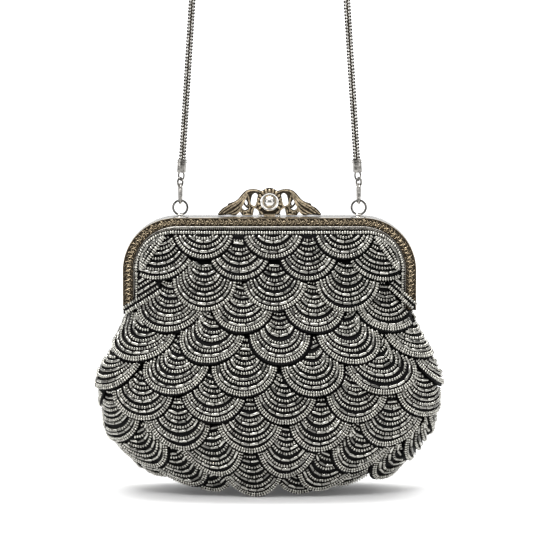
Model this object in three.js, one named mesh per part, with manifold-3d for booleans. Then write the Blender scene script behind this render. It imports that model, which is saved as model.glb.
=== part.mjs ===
// Beaded evening bag: a hollow satin pouch clad in tiers of scalloped flaps, hung in a hinged metal
// frame with a pierced tilting clasp, two rings, two lobster clasps and a woven chain strap.
// Millimetres, +Z up, the front faces -Y. Heights below are taken from the lowest lobes, and the
// whole bag is then lowered so that the origin is where the strap hangs.
import * as THREE from 'three';
import { mergeVertices } from 'three/addons/utils/BufferGeometryUtils.js';
import Module from 'manifold-3d';

// Driving dimensions

const HANG_HEIGHT = 334.7;
const GAP = 0.3;

const FRAME = {
  halfWidth: 85, top: 160, armEnd: 106, cornerRadius: 31,
  halfDepth: 6.4, band: 7, wall: 1.2, split: 0.15, relief: 0.6,
};
// Insets of the band's lines from the frame's outer edge, and how far the flange lies below the band.
const BAND_LINES = { ridge: 2.9, floorEnd: 4.9, rim: 5.5, flange: 6.1, flangeDrop: 0.2 };
const FRAME_STEPS = { arm: 9, corner: 6, top: 20 };
const HINGE = { radius: 2.2, aboveArmEnd: 3, gap: 0.6, sides: 14 };
const CORNER_X = FRAME.halfWidth - FRAME.cornerRadius;
const CORNER_Z = FRAME.top - FRAME.cornerRadius;

const POUCH_WALL = 1.6;
const POUCH_COLUMNS = 26;
const SECTION_POWER = 2.3;
// Outer face of the pouch from the mouth down. The sides of a section sweep up by its lift.
const POUCH_SECTIONS = [
  { z: 156, halfWidth: 60, halfDepth: 4.8, lift: 0 },
  { z: 152, halfWidth: 71, halfDepth: 5, lift: 0 },
  { z: 144, halfWidth: 77.5, halfDepth: 5.4, lift: 0 },
  { z: 132, halfWidth: 79.4, halfDepth: 6.6, lift: 0 },
  { z: 110, halfWidth: 79.4, halfDepth: 11, lift: 0 },
  { z: 97, halfWidth: 81.5, halfDepth: 14.5, lift: 0 },
  { z: 82, halfWidth: 88, halfDepth: 19, lift: 0 },
  { z: 66, halfWidth: 94, halfDepth: 23, lift: 1 },
  { z: 48, halfWidth: 93, halfDepth: 25.5, lift: 2.5 },
  { z: 30, halfWidth: 87.5, halfDepth: 25.5, lift: 5 },
  { z: 16, halfWidth: 79, halfDepth: 22, lift: 7.5 },
  { z: 8, halfWidth: 67, halfDepth: 15, lift: 9 },
  { z: 5.5, halfWidth: 52, halfDepth: 7, lift: 8 },
];

// Below its last straight section the flaps hang free of the pouch, on this skirt.
const SKIRT_SECTIONS = [
  { z: 8, halfWidth: 71.5, halfDepth: 17.5, lift: 9 },
  { z: -3, halfWidth: 61.5, halfDepth: 12, lift: 9.5 },
];
const SKIRT_FROM = 16;

const FLAP = { thickness: 1, base: 1.2, slope: 0.14, lobeHeight: 15.7, leastPanel: 1.5, leastRing: 3 };
const LOBE_TURNS = [-90, -55, -20, 20, 55].map(THREE.MathUtils.degToRad);
// Distances from the bag's side seams where a tier turns sharply and gets more columns.
const SEAM_COLUMNS = [-9, -4.2, 0, 4.2, 9];
const SEAM_CLEAR = 2.2;
// Flap strips inside the frame, the same on the front and the back.
const PANEL_ROWS = [
  { row: 1, top: 152.3, tip: 136.3, centre: 2, pitch: 41, reach: 76, base: 3.9 },
  { row: 2, top: 150, tip: 124, centre: 22.3, pitch: 41.5, reach: 76, base: 1.9 },
  { row: 3, top: 136, tip: 106.5, centre: 3.2, pitch: 41, reach: 83, base: 1.6 },
];
// Flap tiers that run right round the pouch. The centre is that of a lobe on the front.
const RING_ROWS = [
  { row: 4, top: 124, tip: 92.8, lobes: 8, centre: -15.4, levels: 2 },
  { row: 5, top: 107.5, tip: 75.4, lobes: 9, centre: 6, levels: 2 },
  { row: 6, top: 93, tip: 58, lobes: 10, centre: -14.2, levels: 3 },
  { row: 7, top: 73, tip: 43, lobes: 10, centre: 9, levels: 3 },
  { row: 8, top: 58, tip: 27.3, lobes: 10, centre: -11.3, levels: 3 },
  { row: 9, top: 43, tip: 13.3, lobes: 9, centre: 10, levels: 3 },
  { row: 10, top: 27.5, tip: 2, lobes: 8, centre: -9.6, levels: 3 },
  { row: 11, top: 13.5, tip: 0, lobes: 8, centre: 12, levels: 2 },
];
const SIDE_TOP = { from: 66, to: 76, z: 101.5 };

const STRAP_Y = 3.2;
const RING = { x: 51.7, z: 165.3, radius: 4.1, wire: 0.5 };
const LUG = { length: 3, outer: 1.6, bore: 1 };
const LOBSTER = {
  bottom: 167.2, shoulder: 11.4, halfThickness: 1.6,
  eyeZ: 180.2, eyeRadius: 1.75, eyeHole: 0.95, eyeHalf: 0.6, neckDepth: 2.4, neckHeight: 2,
};
// Edges of the hook's rim and hollow, and of the slots cut for the gate and the lever, as depth and
// height above the hook's bottom. Six numbers are a curve with its two handles.
const HOOK_RIM = [
  [0, 0], [2.4, 0, 3.9, 1.6, 3.7, 4], [3.5, 7, 2, 8.6, 1.4, LOBSTER.shoulder],
  [-1.4, LOBSTER.shoulder], [-2.2, 9.4, -3.5, 9, -3.7, 4], [-3.9, 1.6, -2.4, 0, 0, 0],
];
const HOOK_HOLLOW = [
  [0, 1], [1.6, 1, 2.4, 2.4, 2.3, 4], [2.2, 5.4, 1.4, 6.6, 0, 6.8],
  [-1.4, 6.6, -2.2, 5.4, -2.3, 4], [-2.4, 2.4, -1.6, 1, 0, 1],
];
const HOOK_GATE = [[-5, 2.7], [-0.6, 2.7], [-0.6, 6.8], [-5, 6.8]];
const HOOK_FORK = [[-5, 6.5], [-0.5, 6.5], [-0.5, 10.2], [-5, 10.2]];
const LEVER = { y: -2.2, z: 175.9, halfThickness: 0.7, slot: 1 };
// Edge of the lever round its pin, as depth and height: head, inner face, tip, outer face, thumb nib.
const LEVER_EDGE = [
  [-0.9, 0.5], [0.3, 0.9], [0.9, 0], [0.4, -1.6], [-0.2, -4.1], [-0.1, -5.7],
  [-1.3, -5.7], [-1.6, -3.9], [-1.4, -2.2], [-2.9, -1.8], [-2.6, -0.9],
];
const CAP = { bottom: 185.6, top: 193.1, radius: 2.4, bore: 2.05, floor: 1.4, lean: 0.065 };
const LOOP = { radius: 2.2, wire: 0.45, stretch: 1.32 };
const STRAP = {
  radius: 1.7, legFoot: 187.4, legTop: 295.2, arcZ: 292.5, arcRadius: 43.9, points: 12, steps: 34,
};

const CLASP = {
  bezelZ: 168.4, bezelRadius: 5.45, domeRadius: 3.75, plateY: 1.6, plate: 1.8, rib: 0.65, cup: 1.2,
  pivotY: 2.5, pivotZ: 162.1, pin: 0.7, barrel: 1.1, earX: 5.5, ear: 1.9, earLength: 2.4, earRoom: 0.5,
  tongueHalfWidth: 3.5, tongueFront: -5.6, tongue: 1.4, stemY: 1.4, stemDepth: 3, stemHeight: 4,
};
const BUD = { x: 14.2, z: 163.2, radius: 1.6 };

// Materials

const material = (name, color, roughness, metalness) =>
  new THREE.MeshStandardMaterial({ name, color, roughness, metalness });
const satin = material('black_satin', 0x0b0b0c, 0.55, 0);
const beadwork = material('beadwork', 0x8d8c88, 0.35, 0.6);
const antiqueSilver = material('antique_silver', 0x6f6154, 0.4, 1);
const polishedSilver = material('polished_silver', 0xc9c8c4, 0.18, 1);
const darkChain = material('dark_chain', 0x55534f, 0.35, 1);

// Solids

const wasm = await Module();
wasm.setup();

// Shared corners are merged and triangles that vanish are dropped.
function weld(geometry) {
  const bare = geometry.clone();
  bare.deleteAttribute('normal');
  bare.deleteAttribute('uv');
  const merged = mergeVertices(bare, 1e-4);
  const corner = merged.index.array;
  const kept = [];
  for (let i = 0; i < corner.length; i += 3) {
    const triangle = [corner[i], corner[i + 1], corner[i + 2]];
    if (new Set(triangle).size === 3) kept.push(...triangle);
  }
  merged.setIndex(kept);
  return merged;
}

function toSolid(geometry) {
  const welded = weld(geometry);
  const vertProperties = new Float32Array(welded.attributes.position.array);
  const triVerts = new Uint32Array(welded.index.array);
  return new wasm.Manifold(new wasm.Mesh({ numProp: 3, vertProperties, triVerts }));
}

function toGeometry(solid) {
  const mesh = solid.getMesh();
  const geometry = new THREE.BufferGeometry();
  geometry.setAttribute('position', new THREE.BufferAttribute(mesh.vertProperties, 3));
  geometry.setIndex(new THREE.BufferAttribute(mesh.triVerts, 1));
  return geometry;
}

const fuse = (first, ...others) =>
  toGeometry(others.reduce((solid, other) => solid.add(toSolid(other)), toSolid(first)));
const cut = (first, ...tools) =>
  toGeometry(tools.reduce((solid, tool) => solid.subtract(toSolid(tool)), toSolid(first)));

// Triangles over a closed loop of points, seen in the loop's own plane.
function capTriangles(loop) {
  const normal = new THREE.Vector3();
  loop.forEach((point, i) => {
    const next = loop[(i + 1) % loop.length];
    normal.add(new THREE.Vector3().crossVectors(point, next));
  });
  normal.normalize();
  const flat = new THREE.Quaternion().setFromUnitVectors(normal, new THREE.Vector3(0, 0, 1));
  const laidFlat = loop.map((point) => {
    const turned = point.clone().applyQuaternion(flat);
    return new THREE.Vector2(turned.x, turned.y);
  });
  return THREE.ShapeUtils.triangulateShape(laidFlat, []);
}

// A solid skinned over loops of equally many points, joined in a ring or capped at both ends.
function loft(loops, ring) {
  const size = loops[0].length;
  const index = [];
  const spans = ring ? loops.length : loops.length - 1;
  for (let i = 0; i < spans; i += 1) {
    const here = i * size;
    const there = ((i + 1) % loops.length) * size;
    for (let j = 0; j < size; j += 1) {
      const next = (j + 1) % size;
      index.push(here + j, here + next, there + next, here + j, there + next, there + j);
    }
  }
  if (!ring) {
    const end = (loops.length - 1) * size;
    capTriangles(loops[0]).forEach(([a, b, c]) => index.push(c, b, a));
    capTriangles(loops.at(-1)).forEach(([a, b, c]) => index.push(end + a, end + b, end + c));
  }
  const geometry = new THREE.BufferGeometry().setFromPoints(loops.flat());
  geometry.setIndex(signedVolume(loops.flat(), index) < 0 ? index.reverse() : index);
  return geometry;
}

function signedVolume(points, index) {
  let volume = 0;
  for (let i = 0; i < index.length; i += 3) {
    const [a, b, c] = [points[index[i]], points[index[i + 1]], points[index[i + 2]]];
    volume += a.dot(new THREE.Vector3().crossVectors(b, c));
  }
  return volume;
}

// A plate of the given outline in the plane of Y and Z, centred on x.
function plateYZ(shape, x, halfThickness, curveSegments = 4) {
  const options = { depth: 2 * halfThickness, bevelEnabled: false, curveSegments };
  const geometry = new THREE.ExtrudeGeometry(shape, options);
  const turn = new THREE.Matrix4().makeBasis(
    new THREE.Vector3(0, 1, 0), new THREE.Vector3(0, 0, 1), new THREE.Vector3(1, 0, 0));
  return geometry.applyMatrix4(turn).translate(x - halfThickness, 0, 0);
}

const cylinderX = (radius, length, x, y, z, sides) =>
  new THREE.CylinderGeometry(radius, radius, length, sides).rotateZ(Math.PI / 2).translate(x, y, z);

const outline = (points) => new THREE.Shape(points.map(([u, v]) => new THREE.Vector2(u, v)));

// Points of a profile for a lathe: radius and place along the axis.
const latheProfile = (points) => points.map(([radius, along]) => new THREE.Vector2(radius, along));

// A shape drawn from its first point by lines and curves.
function traced([start, ...steps]) {
  const shape = new THREE.Shape().moveTo(...start);
  for (const step of steps) {
    if (step.length === 2) shape.lineTo(...step);
    else shape.bezierCurveTo(...step);
  }
  return shape;
}

// The pouch's surface

const lerp = THREE.MathUtils.lerp;
const clamp = THREE.MathUtils.clamp;

const GROUND_SECTIONS = [...POUCH_SECTIONS.filter(({ z }) => z >= SKIRT_FROM), ...SKIRT_SECTIONS];

function sectionAt(z) {
  const last = GROUND_SECTIONS.length - 2;
  const next = GROUND_SECTIONS.findIndex((section) => section.z <= z);
  const i = next < 0 ? last : clamp(next - 1, 0, last);
  const [above, below] = [GROUND_SECTIONS[i], GROUND_SECTIONS[i + 1]];
  const part = clamp((above.z - z) / (above.z - below.z), 0, 1);
  return {
    z,
    halfWidth: lerp(above.halfWidth, below.halfWidth, part),
    halfDepth: lerp(above.halfDepth, below.halfDepth, part),
    lift: lerp(above.lift, below.lift, part),
  };
}

const powered = (value) => Math.sign(value) * Math.abs(value) ** (2 / SECTION_POWER);

// Points of a section evenly spaced round it, from the middle of the front towards +X.
function sectionWalk(section) {
  const samples = 400;
  const walk = [];
  let length = 0;
  for (let i = 0; i <= samples; i += 1) {
    const turn = (i / samples) * 2 * Math.PI;
    const x = section.halfWidth * powered(Math.sin(turn));
    const y = -section.halfDepth * powered(Math.cos(turn));
    if (i > 0) length += Math.hypot(x - walk[i - 1].x, y - walk[i - 1].y);
    walk.push({ x, y, length });
  }
  return walk;
}

const girth = (section) => sectionWalk(section).at(-1).length;

function pointOn(section, share) {
  const walk = sectionWalk(section);
  const wanted = (share - Math.floor(share)) * walk.at(-1).length;
  const i = Math.max(1, walk.findIndex((step) => step.length >= wanted));
  const [before, after] = [walk[i - 1], walk[i]];
  const part = (wanted - before.length) / (after.length - before.length || 1);
  const x = lerp(before.x, after.x, part);
  const y = lerp(before.y, after.y, part);
  return new THREE.Vector3(x, y, section.z + section.lift * (x / section.halfWidth) ** 2);
}

// A point at the given share of the girth and height, standing off the pouch along its normal.
function standOff(share, z, distance) {
  const step = 0.5;
  const turn = 0.002;
  const here = pointOn(sectionAt(z), share);
  const round = pointOn(sectionAt(z), share + turn).sub(pointOn(sectionAt(z), share - turn));
  const up = pointOn(sectionAt(z + step), share).sub(pointOn(sectionAt(z - step), share));
  return here.addScaledVector(round.cross(up).normalize(), distance);
}

const wallLoop = (section) =>
  Array.from({ length: POUCH_COLUMNS }, (_, j) => pointOn(section, (j + 0.5) / POUCH_COLUMNS));

function pouchGeometry() {
  const outer = POUCH_SECTIONS.map(wallLoop);
  const inner = POUCH_SECTIONS.map((section, i) => wallLoop({
    z: section.z + (i === POUCH_SECTIONS.length - 1 ? POUCH_WALL : 0),
    halfWidth: section.halfWidth - POUCH_WALL,
    halfDepth: section.halfDepth - POUCH_WALL,
    lift: section.lift,
  }));
  return loft([...outer.reverse(), ...inner], false);
}

// Flaps

const flapOffset = (row, z) => (row.base ?? FLAP.base) + FLAP.slope * (row.top - z);

// Places along a row, with the height of the lobed edge above the lobes' tips.
function lobeColumns(centre, pitch, first, last) {
  const columns = [];
  for (let k = first; k <= last; k += 1) {
    for (const turn of LOBE_TURNS) {
      const along = centre + k * pitch + (pitch / 2) * Math.sin(turn);
      columns.push({ along, rise: lobeRise(along, centre, pitch) });
    }
  }
  return columns;
}

function lobeRise(along, centre, pitch) {
  const share = (along - centre) / pitch;
  const across = 2 * (share - Math.round(share));
  return FLAP.lobeHeight * (1 - Math.sqrt(Math.max(0, 1 - across ** 2)));
}

// Where the third strip starts to hang over the arms of the frame.
const ARM_OVERLAP = { x: 76.2, z: 120 };

// The frame's opening rounds off the top of a strip, and the arms stand behind its outer ends.
function panelTop(row, x) {
  const side = Math.abs(x);
  if (side > ARM_OVERLAP.x) return ARM_OVERLAP.z - (side - ARM_OVERLAP.x);
  const inner = FRAME.cornerRadius - FRAME.band - GAP;
  const corner = CORNER_Z + Math.sqrt(Math.max(0, inner ** 2 - Math.max(0, side - CORNER_X) ** 2));
  return Math.min(row.top, corner);
}

function panelDepth(x, z) {
  const section = sectionAt(z);
  const share = Math.min(1, Math.abs(x) / section.halfWidth);
  return section.halfDepth * (1 - share ** SECTION_POWER) ** (1 / SECTION_POWER);
}

function panelPoint(row, x, z, extra) {
  const armFace = Math.abs(x) > ARM_OVERLAP.x ? FRAME.halfDepth + FRAME.relief + 2 * GAP : 0;
  const depth = Math.max(panelDepth(x, z) + flapOffset(row, z), armFace);
  return new THREE.Vector3(x, -depth - extra, z);
}

function panelGeometry(row) {
  const { reach, centre, pitch } = row;
  const pastArm = ARM_OVERLAP.x + 0.1;
  const ends = [-1, 1].flatMap((side) => [reach, pastArm]
    .filter((along) => along <= reach)
    .map((along) => ({ along: side * along, rise: lobeRise(side * along, centre, pitch) })));
  const innerEnd = Math.min(reach, ARM_OVERLAP.x) - 1;
  const lobes = Math.ceil(reach / pitch);
  const inside = lobeColumns(centre, pitch, -lobes, lobes).filter(({ along }) => Math.abs(along) < innerEnd);
  const columns = [...ends, ...inside].sort((a, b) => a.along - b.along);
  const loops = columns.map(({ along, rise }) => {
    const top = panelTop(row, along);
    const edge = Math.min(row.tip + rise, top - FLAP.leastPanel);
    return [
      panelPoint(row, along, top, FLAP.thickness), panelPoint(row, along, edge, FLAP.thickness),
      panelPoint(row, along, edge, 0), panelPoint(row, along, top, 0),
    ];
  });
  return loft(loops, false);
}

function ringTop(row, x) {
  const part = clamp((Math.abs(x) - SIDE_TOP.from) / (SIDE_TOP.to - SIDE_TOP.from), 0, 1);
  return lerp(row.top, Math.min(row.top, SIDE_TOP.z), part);
}

function ringGeometry(row) {
  const around = girth(sectionAt((row.top + row.tip) / 2));
  const pitch = around / row.lobes;
  const seams = [around / 4, (3 * around) / 4]
    .flatMap((seam) => SEAM_COLUMNS.map((step) => seam + step));
  const nearSeam = (along) => seams.some((seam) => Math.abs(seam - along) < SEAM_CLEAR);
  const columns = [
    ...lobeColumns(row.centre, pitch, 0, row.lobes - 1)
      .map(({ along, rise }) => ({ along: THREE.MathUtils.euclideanModulo(along, around), rise }))
      .filter(({ along }) => !nearSeam(along)),
    ...seams.map((along) => ({ along, rise: lobeRise(along, row.centre, pitch) })),
  ].sort((a, b) => a.along - b.along);
  const loops = columns.map(({ along, rise }) => {
    const share = along / around;
    const top = ringTop(row, pointOn(sectionAt(row.top), share).x);
    const edge = Math.min(row.tip + rise, top - FLAP.leastRing);
    const levels = Array.from({ length: row.levels }, (_, i) => lerp(top, edge, i / (row.levels - 1)));
    const inner = levels.map((z) => standOff(share, z, flapOffset(row, z)));
    const outer = levels.map((z) => standOff(share, z, flapOffset(row, z) + FLAP.thickness));
    return [...outer, ...inner.reverse()];
  });
  return loft(loops, true);
}

// Frame

// Steps along the frame's inverted U, each with the direction out of the bag.
function framePath() {
  const steps = FRAME_STEPS;
  const path = [];
  for (let i = 0; i < steps.arm; i += 1) {
    path.push({ x: -FRAME.halfWidth, z: lerp(FRAME.armEnd, CORNER_Z, i / steps.arm), turn: Math.PI });
  }
  for (let i = 0; i < steps.corner; i += 1) {
    path.push(cornerStep(-CORNER_X, Math.PI - (i / steps.corner) * (Math.PI / 2)));
  }
  for (let i = 0; i < steps.top; i += 1) {
    path.push({ x: lerp(-CORNER_X, CORNER_X, i / steps.top), z: FRAME.top, turn: Math.PI / 2 });
  }
  for (let i = 0; i < steps.corner; i += 1) {
    path.push(cornerStep(CORNER_X, Math.PI / 2 - (i / steps.corner) * (Math.PI / 2)));
  }
  for (let i = 0; i <= steps.arm; i += 1) {
    path.push({ x: FRAME.halfWidth, z: lerp(CORNER_Z, FRAME.armEnd, i / steps.arm), turn: 0 });
  }
  return path;
}

function cornerStep(centreX, turn) {
  const x = centreX + FRAME.cornerRadius * Math.cos(turn);
  return { x, z: CORNER_Z + FRAME.cornerRadius * Math.sin(turn), turn };
}

// Section of one half: inset from the outer edge, and depth from the plane where the halves meet.
function frameProfile(raised) {
  const { halfDepth: face, split, relief, band, wall } = FRAME;
  const flangeFace = face - BAND_LINES.flangeDrop;
  return [
    [0, split], [0, face], [BAND_LINES.ridge, face + (raised ? relief : 0)], [BAND_LINES.floorEnd, face],
    [BAND_LINES.rim, face + relief], [BAND_LINES.flange, flangeFace], [band, flangeFace],
    [band, face - wall], [wall, face - wall], [wall, split],
  ];
}

function frameHalf(side) {
  const place = ({ x, z, turn }, [inset, depth]) =>
    new THREE.Vector3(x - inset * Math.cos(turn), side * depth, z - inset * Math.sin(turn));
  const loops = framePath().map((step, i) => frameProfile(i % 2 === 1).map((spot) => place(step, spot)));
  return loft(loops, false);
}

// The back half carries the clasp's ears and the barrels that the strap's rings run through.
function frameBack() {
  const barrels = [-1, 1].map((side) => {
    const centre = [side * RING.x, STRAP_Y, RING.z - RING.radius];
    const barrel = cylinderX(LUG.outer, LUG.length, ...centre, 10);
    return cut(barrel, cylinderX(LUG.bore, 2 * LUG.length, ...centre, 8));
  });
  const ears = [-1, 1].map((side) => {
    const centre = [side * CLASP.earX, CLASP.pivotY, CLASP.pivotZ];
    const foot = new THREE.BoxGeometry(CLASP.earLength, 2 * CLASP.ear, CLASP.ear);
    foot.translate(side * CLASP.earX, CLASP.pivotY, FRAME.top - FRAME.wall / 2 + CLASP.ear / 2);
    const knuckle = fuse(cylinderX(CLASP.ear, CLASP.earLength, ...centre, 10), foot);
    return cut(knuckle, cylinderX(CLASP.pin + GAP, 2 * CLASP.earLength, ...centre, 8));
  });
  return fuse(frameHalf(1), ...barrels, ...ears);
}

function hingeBarrel(side) {
  const inner = sectionAt(FRAME.armEnd + HINGE.aboveArmEnd).halfWidth + HINGE.gap;
  const outer = FRAME.halfWidth - FRAME.wall - GAP;
  const x = side * (inner + outer) / 2;
  return cylinderX(HINGE.radius, outer - inner, x, 0, FRAME.armEnd + HINGE.aboveArmEnd, HINGE.sides);
}

// Clasp

// Edge of the pierced leafwork on the +X side: from the top of the flower, over the leaf, to the foot.
const LEAF_EDGE = [
  [0, 176.2], [2, 175.8], [3.9, 174.6], [5.1, 174.5], [7.5, 175.3], [10.2, 175.5], [13.3, 174.7],
  [15.8, 172.5], [18.2, 169.6], [20.8, 168], [23.6, 167.1], [24.2, 165.9], [26.9, 164.4], [29.5, 161.4],
  [28.8, 160.7], [25.4, 161], [21.1, 160.6], [18.4, 161], [14.4, 160.6],
];
// Openings in the leafwork on the +X side.
const LEAF_HOLES = [
  { x: 9.6, z: 170.4, halfWidth: 1.7, halfHeight: 3.1, lean: -0.35 },
  { x: 14.6, z: 169, halfWidth: 2.2, halfHeight: 1.3, lean: -0.7 },
  { x: 18.2, z: 164.3, halfWidth: 1.5, halfHeight: 1.1, lean: -0.5 },
  { x: 23.4, z: 164.4, halfWidth: 1.7, halfHeight: 0.8, lean: -0.6 },
  { x: 8.2, z: 164, halfWidth: 2, halfHeight: 1.4, lean: 0 },
];
// Raised ribs of the leaf on the +X side.
const LEAF_RIBS = [
  [[6.2, 172.4], [9.6, 174], [13.2, 172.6], [17, 168.2], [22.4, 165.6], [28, 161.8]],
  [[10.8, 164.2], [12.4, 167], [15.8, 166.4], [17.2, 163.4], [14.4, 162.6]],
];

function leafworkPlate() {
  const right = LEAF_EDGE;
  const left = LEAF_EDGE.slice(1).reverse().map(([x, z]) => [-x, z]);
  const shape = outline([...left, ...right].map(([x, z]) => [x, -z]));
  for (const side of [-1, 1]) {
    for (const hole of LEAF_HOLES) {
      const edge = new THREE.Path();
      const { x, z, halfWidth, halfHeight, lean } = hole;
      edge.absellipse(side * x, -z, halfWidth, halfHeight, 0, 2 * Math.PI, true, -side * lean);
      shape.holes.push(new THREE.Path(edge.getSpacedPoints(10).slice(0, -1)));
    }
  }
  const plate = new THREE.ExtrudeGeometry(shape, { depth: CLASP.plate, bevelEnabled: false });
  return plate.rotateX(-Math.PI / 2).translate(0, CLASP.plateY, 0);
}

function rib(points, side) {
  const path = new THREE.CatmullRomCurve3(
    points.map(([x, z]) => new THREE.Vector3(side * x, CLASP.plateY, z)));
  const section = new THREE.Shape().absarc(0, 0, CLASP.rib, 0, 2 * Math.PI);
  const options = { steps: 7, extrudePath: path, curveSegments: 3, bevelEnabled: false };
  return new THREE.ExtrudeGeometry(section, options);
}

function bezel() {
  const { bezelRadius, domeRadius, plateY, plate, bezelZ, cup } = CLASP;
  const profile = latheProfile([
    [0, 0], [bezelRadius - 0.4, 0], [bezelRadius, 1], [bezelRadius - 0.6, 2.4],
    [domeRadius + GAP, 2.6], [domeRadius + GAP, cup], [0, cup],
  ]);
  return new THREE.LatheGeometry(profile, 16).rotateX(Math.PI).translate(0, plateY + plate / 2, bezelZ);
}

function claspOrnament() {
  const ribs = [-1, 1].flatMap((side) => LEAF_RIBS.map((points) => rib(points, side)));
  const buds = [-1, 1].map((side) =>
    new THREE.SphereGeometry(BUD.radius, 8, 5).translate(side * BUD.x, CLASP.plateY, BUD.z));
  const { tongueFront, tongueHalfWidth, pivotY, pivotZ, earX, earLength } = CLASP;
  const tongueDepth = pivotY - tongueFront;
  const foot = FRAME.top + GAP;
  const tongue = new THREE.BoxGeometry(2 * tongueHalfWidth, tongueDepth, CLASP.tongue);
  tongue.translate(0, pivotY - tongueDepth / 2, foot + CLASP.tongue / 2);
  const stem = new THREE.BoxGeometry(2 * tongueHalfWidth, CLASP.stemDepth, CLASP.stemHeight);
  stem.translate(0, CLASP.stemY, foot + CLASP.stemHeight / 2);
  const barrel = cylinderX(CLASP.barrel, 2 * earX - earLength - 2 * GAP, 0, pivotY, pivotZ, 8);
  const pin = cylinderX(CLASP.pin, 2 * earX + earLength, 0, pivotY, pivotZ, 8);
  const reliefs = cut(leafworkPlate(), ...earClearance());
  return fuse(reliefs, ...ribs, ...buds, bezel(), tongue, stem, barrel, pin);
}

// Room in the leafwork for the ears that hold its pin, also when it tilts.
function earClearance() {
  const { ear, earRoom, earLength, earX, pivotY, pivotZ } = CLASP;
  return [-1, 1].map((side) =>
    cylinderX(ear + earRoom, earLength + 4 * GAP, side * earX, pivotY, pivotZ, 12));
}

function cabochon() {
  const { domeRadius, bezelZ, plateY, plate, cup } = CLASP;
  const profile = latheProfile([
    [0, 0], [domeRadius, 0], [domeRadius, 0.7], [0.85 * domeRadius, 1.9], [0.5 * domeRadius, 2.9], [0, 3.3],
  ]);
  const dome = new THREE.LatheGeometry(profile, 16);
  return dome.rotateX(Math.PI).translate(0, plateY + plate / 2 - cup - GAP, bezelZ);
}

// Strap fittings

function strapRing(side) {
  const ring = new THREE.TorusGeometry(RING.radius, RING.wire, 6, 14);
  return ring.rotateX(Math.PI / 2).translate(side * RING.x, STRAP_Y, RING.z);
}

// Body of a lobster clasp: a teardrop hook with an eye above, open on the lever's side.
function lobsterBody(side) {
  const { bottom, shoulder, eyeZ, eyeRadius, eyeHole, eyeHalf, halfThickness } = LOBSTER;
  const plate = (edge, half) => plateYZ(traced(edge), 0, half).translate(0, 0, bottom);
  const eye = cylinderX(eyeRadius, 2 * eyeHalf, 0, 0, eyeZ, 12);
  const neck = new THREE.BoxGeometry(2 * eyeHalf, LOBSTER.neckDepth, LOBSTER.neckHeight);
  neck.translate(0, 0, bottom + shoulder);
  const body = cut(
    fuse(plate(HOOK_RIM, halfThickness), neck, eye),
    plate(HOOK_HOLLOW, 2 * halfThickness),
    plate(HOOK_GATE, 2 * halfThickness),
    plate(HOOK_FORK, LEVER.slot),
    cylinderX(eyeHole, 4 * halfThickness, 0, 0, eyeZ, 10),
  );
  return body.translate(side * RING.x, STRAP_Y, 0);
}

// The lever that closes the hook, with its thumb nib.
function lobsterLever(side) {
  const { y, z, halfThickness } = LEVER;
  const blade = plateYZ(outline(LEVER_EDGE), side * RING.x, halfThickness);
  return blade.translate(0, STRAP_Y + y, z);
}

// End cap of the strap with its wire loop, leaning as the strap's leg does.
function endCap() {
  const { radius, bore, floor } = CAP;
  const height = CAP.top - CAP.bottom;
  const profile = latheProfile([
    [0, 0], [radius - 0.5, 0], [radius, 0.6], [radius, height - 1.2], [radius + 0.3, height],
    [bore, height], [bore, floor], [0, floor],
  ]);
  const cup = new THREE.LatheGeometry(profile, 12).rotateX(Math.PI / 2);
  const loop = new THREE.TorusGeometry(LOOP.radius, LOOP.wire, 6, 12).rotateX(Math.PI / 2);
  loop.scale(1, 1, LOOP.stretch).translate(0, 0, -LOOP.radius * LOOP.stretch + LOOP.wire / 2);
  return fuse(cup, loop);
}

const legX = (z) => STRAP.arcRadius - 0.1 + CAP.lean * (STRAP.legTop - z);

function strapChain() {
  const { points: count, legFoot, legTop, arcRadius, arcZ, radius, steps } = STRAP;
  const shares = Array.from({ length: count + 1 }, (_, i) => i / count);
  const leg = (side) => shares.map((share) => {
    const z = lerp(legFoot, legTop, share);
    return new THREE.Vector3(side * legX(z), STRAP_Y, z);
  });
  const arc = shares.slice(1, -1).map((share) => {
    const turn = Math.PI * (1 - share);
    return new THREE.Vector3(arcRadius * Math.cos(turn), STRAP_Y, arcZ + arcRadius * Math.sin(turn));
  });
  const extrudePath = new THREE.CatmullRomCurve3([...leg(-1), ...arc, ...leg(1).reverse()]);
  const section = new THREE.Shape().absarc(0, 0, radius, 0, 2 * Math.PI);
  const options = { steps, extrudePath, curveSegments: 4, bevelEnabled: false };
  return new THREE.ExtrudeGeometry(section, options);
}

// Assembly

const bag = new THREE.Group();
bag.position.set(0, -STRAP_Y, -HANG_HEIGHT);

function place(name, geometry, finish, parent = bag) {
  const mesh = new THREE.Mesh(weld(geometry), finish);
  mesh.name = name;
  parent.add(mesh);
  return mesh;
}

place('pouch', pouchGeometry(), satin);
for (const row of PANEL_ROWS) {
  place(`flap_row_${row.row}_front`, panelGeometry(row), beadwork);
  place(`flap_row_${row.row}_back`, panelGeometry(row), beadwork).rotation.z = Math.PI;
}
for (const row of RING_ROWS) place(`flap_row_${row.row}`, ringGeometry(row), beadwork);

place('frame_front', frameHalf(-1), antiqueSilver);
place('frame_back', frameBack(), antiqueSilver);
place('clasp_ornament', claspOrnament(), antiqueSilver);
place('clasp_cabochon', cabochon(), polishedSilver);

for (const [hand, side] of [['left', -1], ['right', 1]]) {
  place(`hinge_barrel_${hand}`, hingeBarrel(side), antiqueSilver);
  place(`strap_ring_${hand}`, strapRing(side), polishedSilver);
  place(`lobster_body_${hand}`, lobsterBody(side), polishedSilver);
  place(`lobster_lever_${hand}`, lobsterLever(side), polishedSilver);
  const leaning = new THREE.Group();
  leaning.position.set(side * legX(CAP.bottom), STRAP_Y, CAP.bottom);
  leaning.rotation.y = -side * Math.atan(CAP.lean);
  bag.add(leaning);
  place(`end_cap_${hand}`, endCap(), polishedSilver, leaning);
}
place('strap_chain', strapChain(), darkChain);

export default bag;
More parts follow.
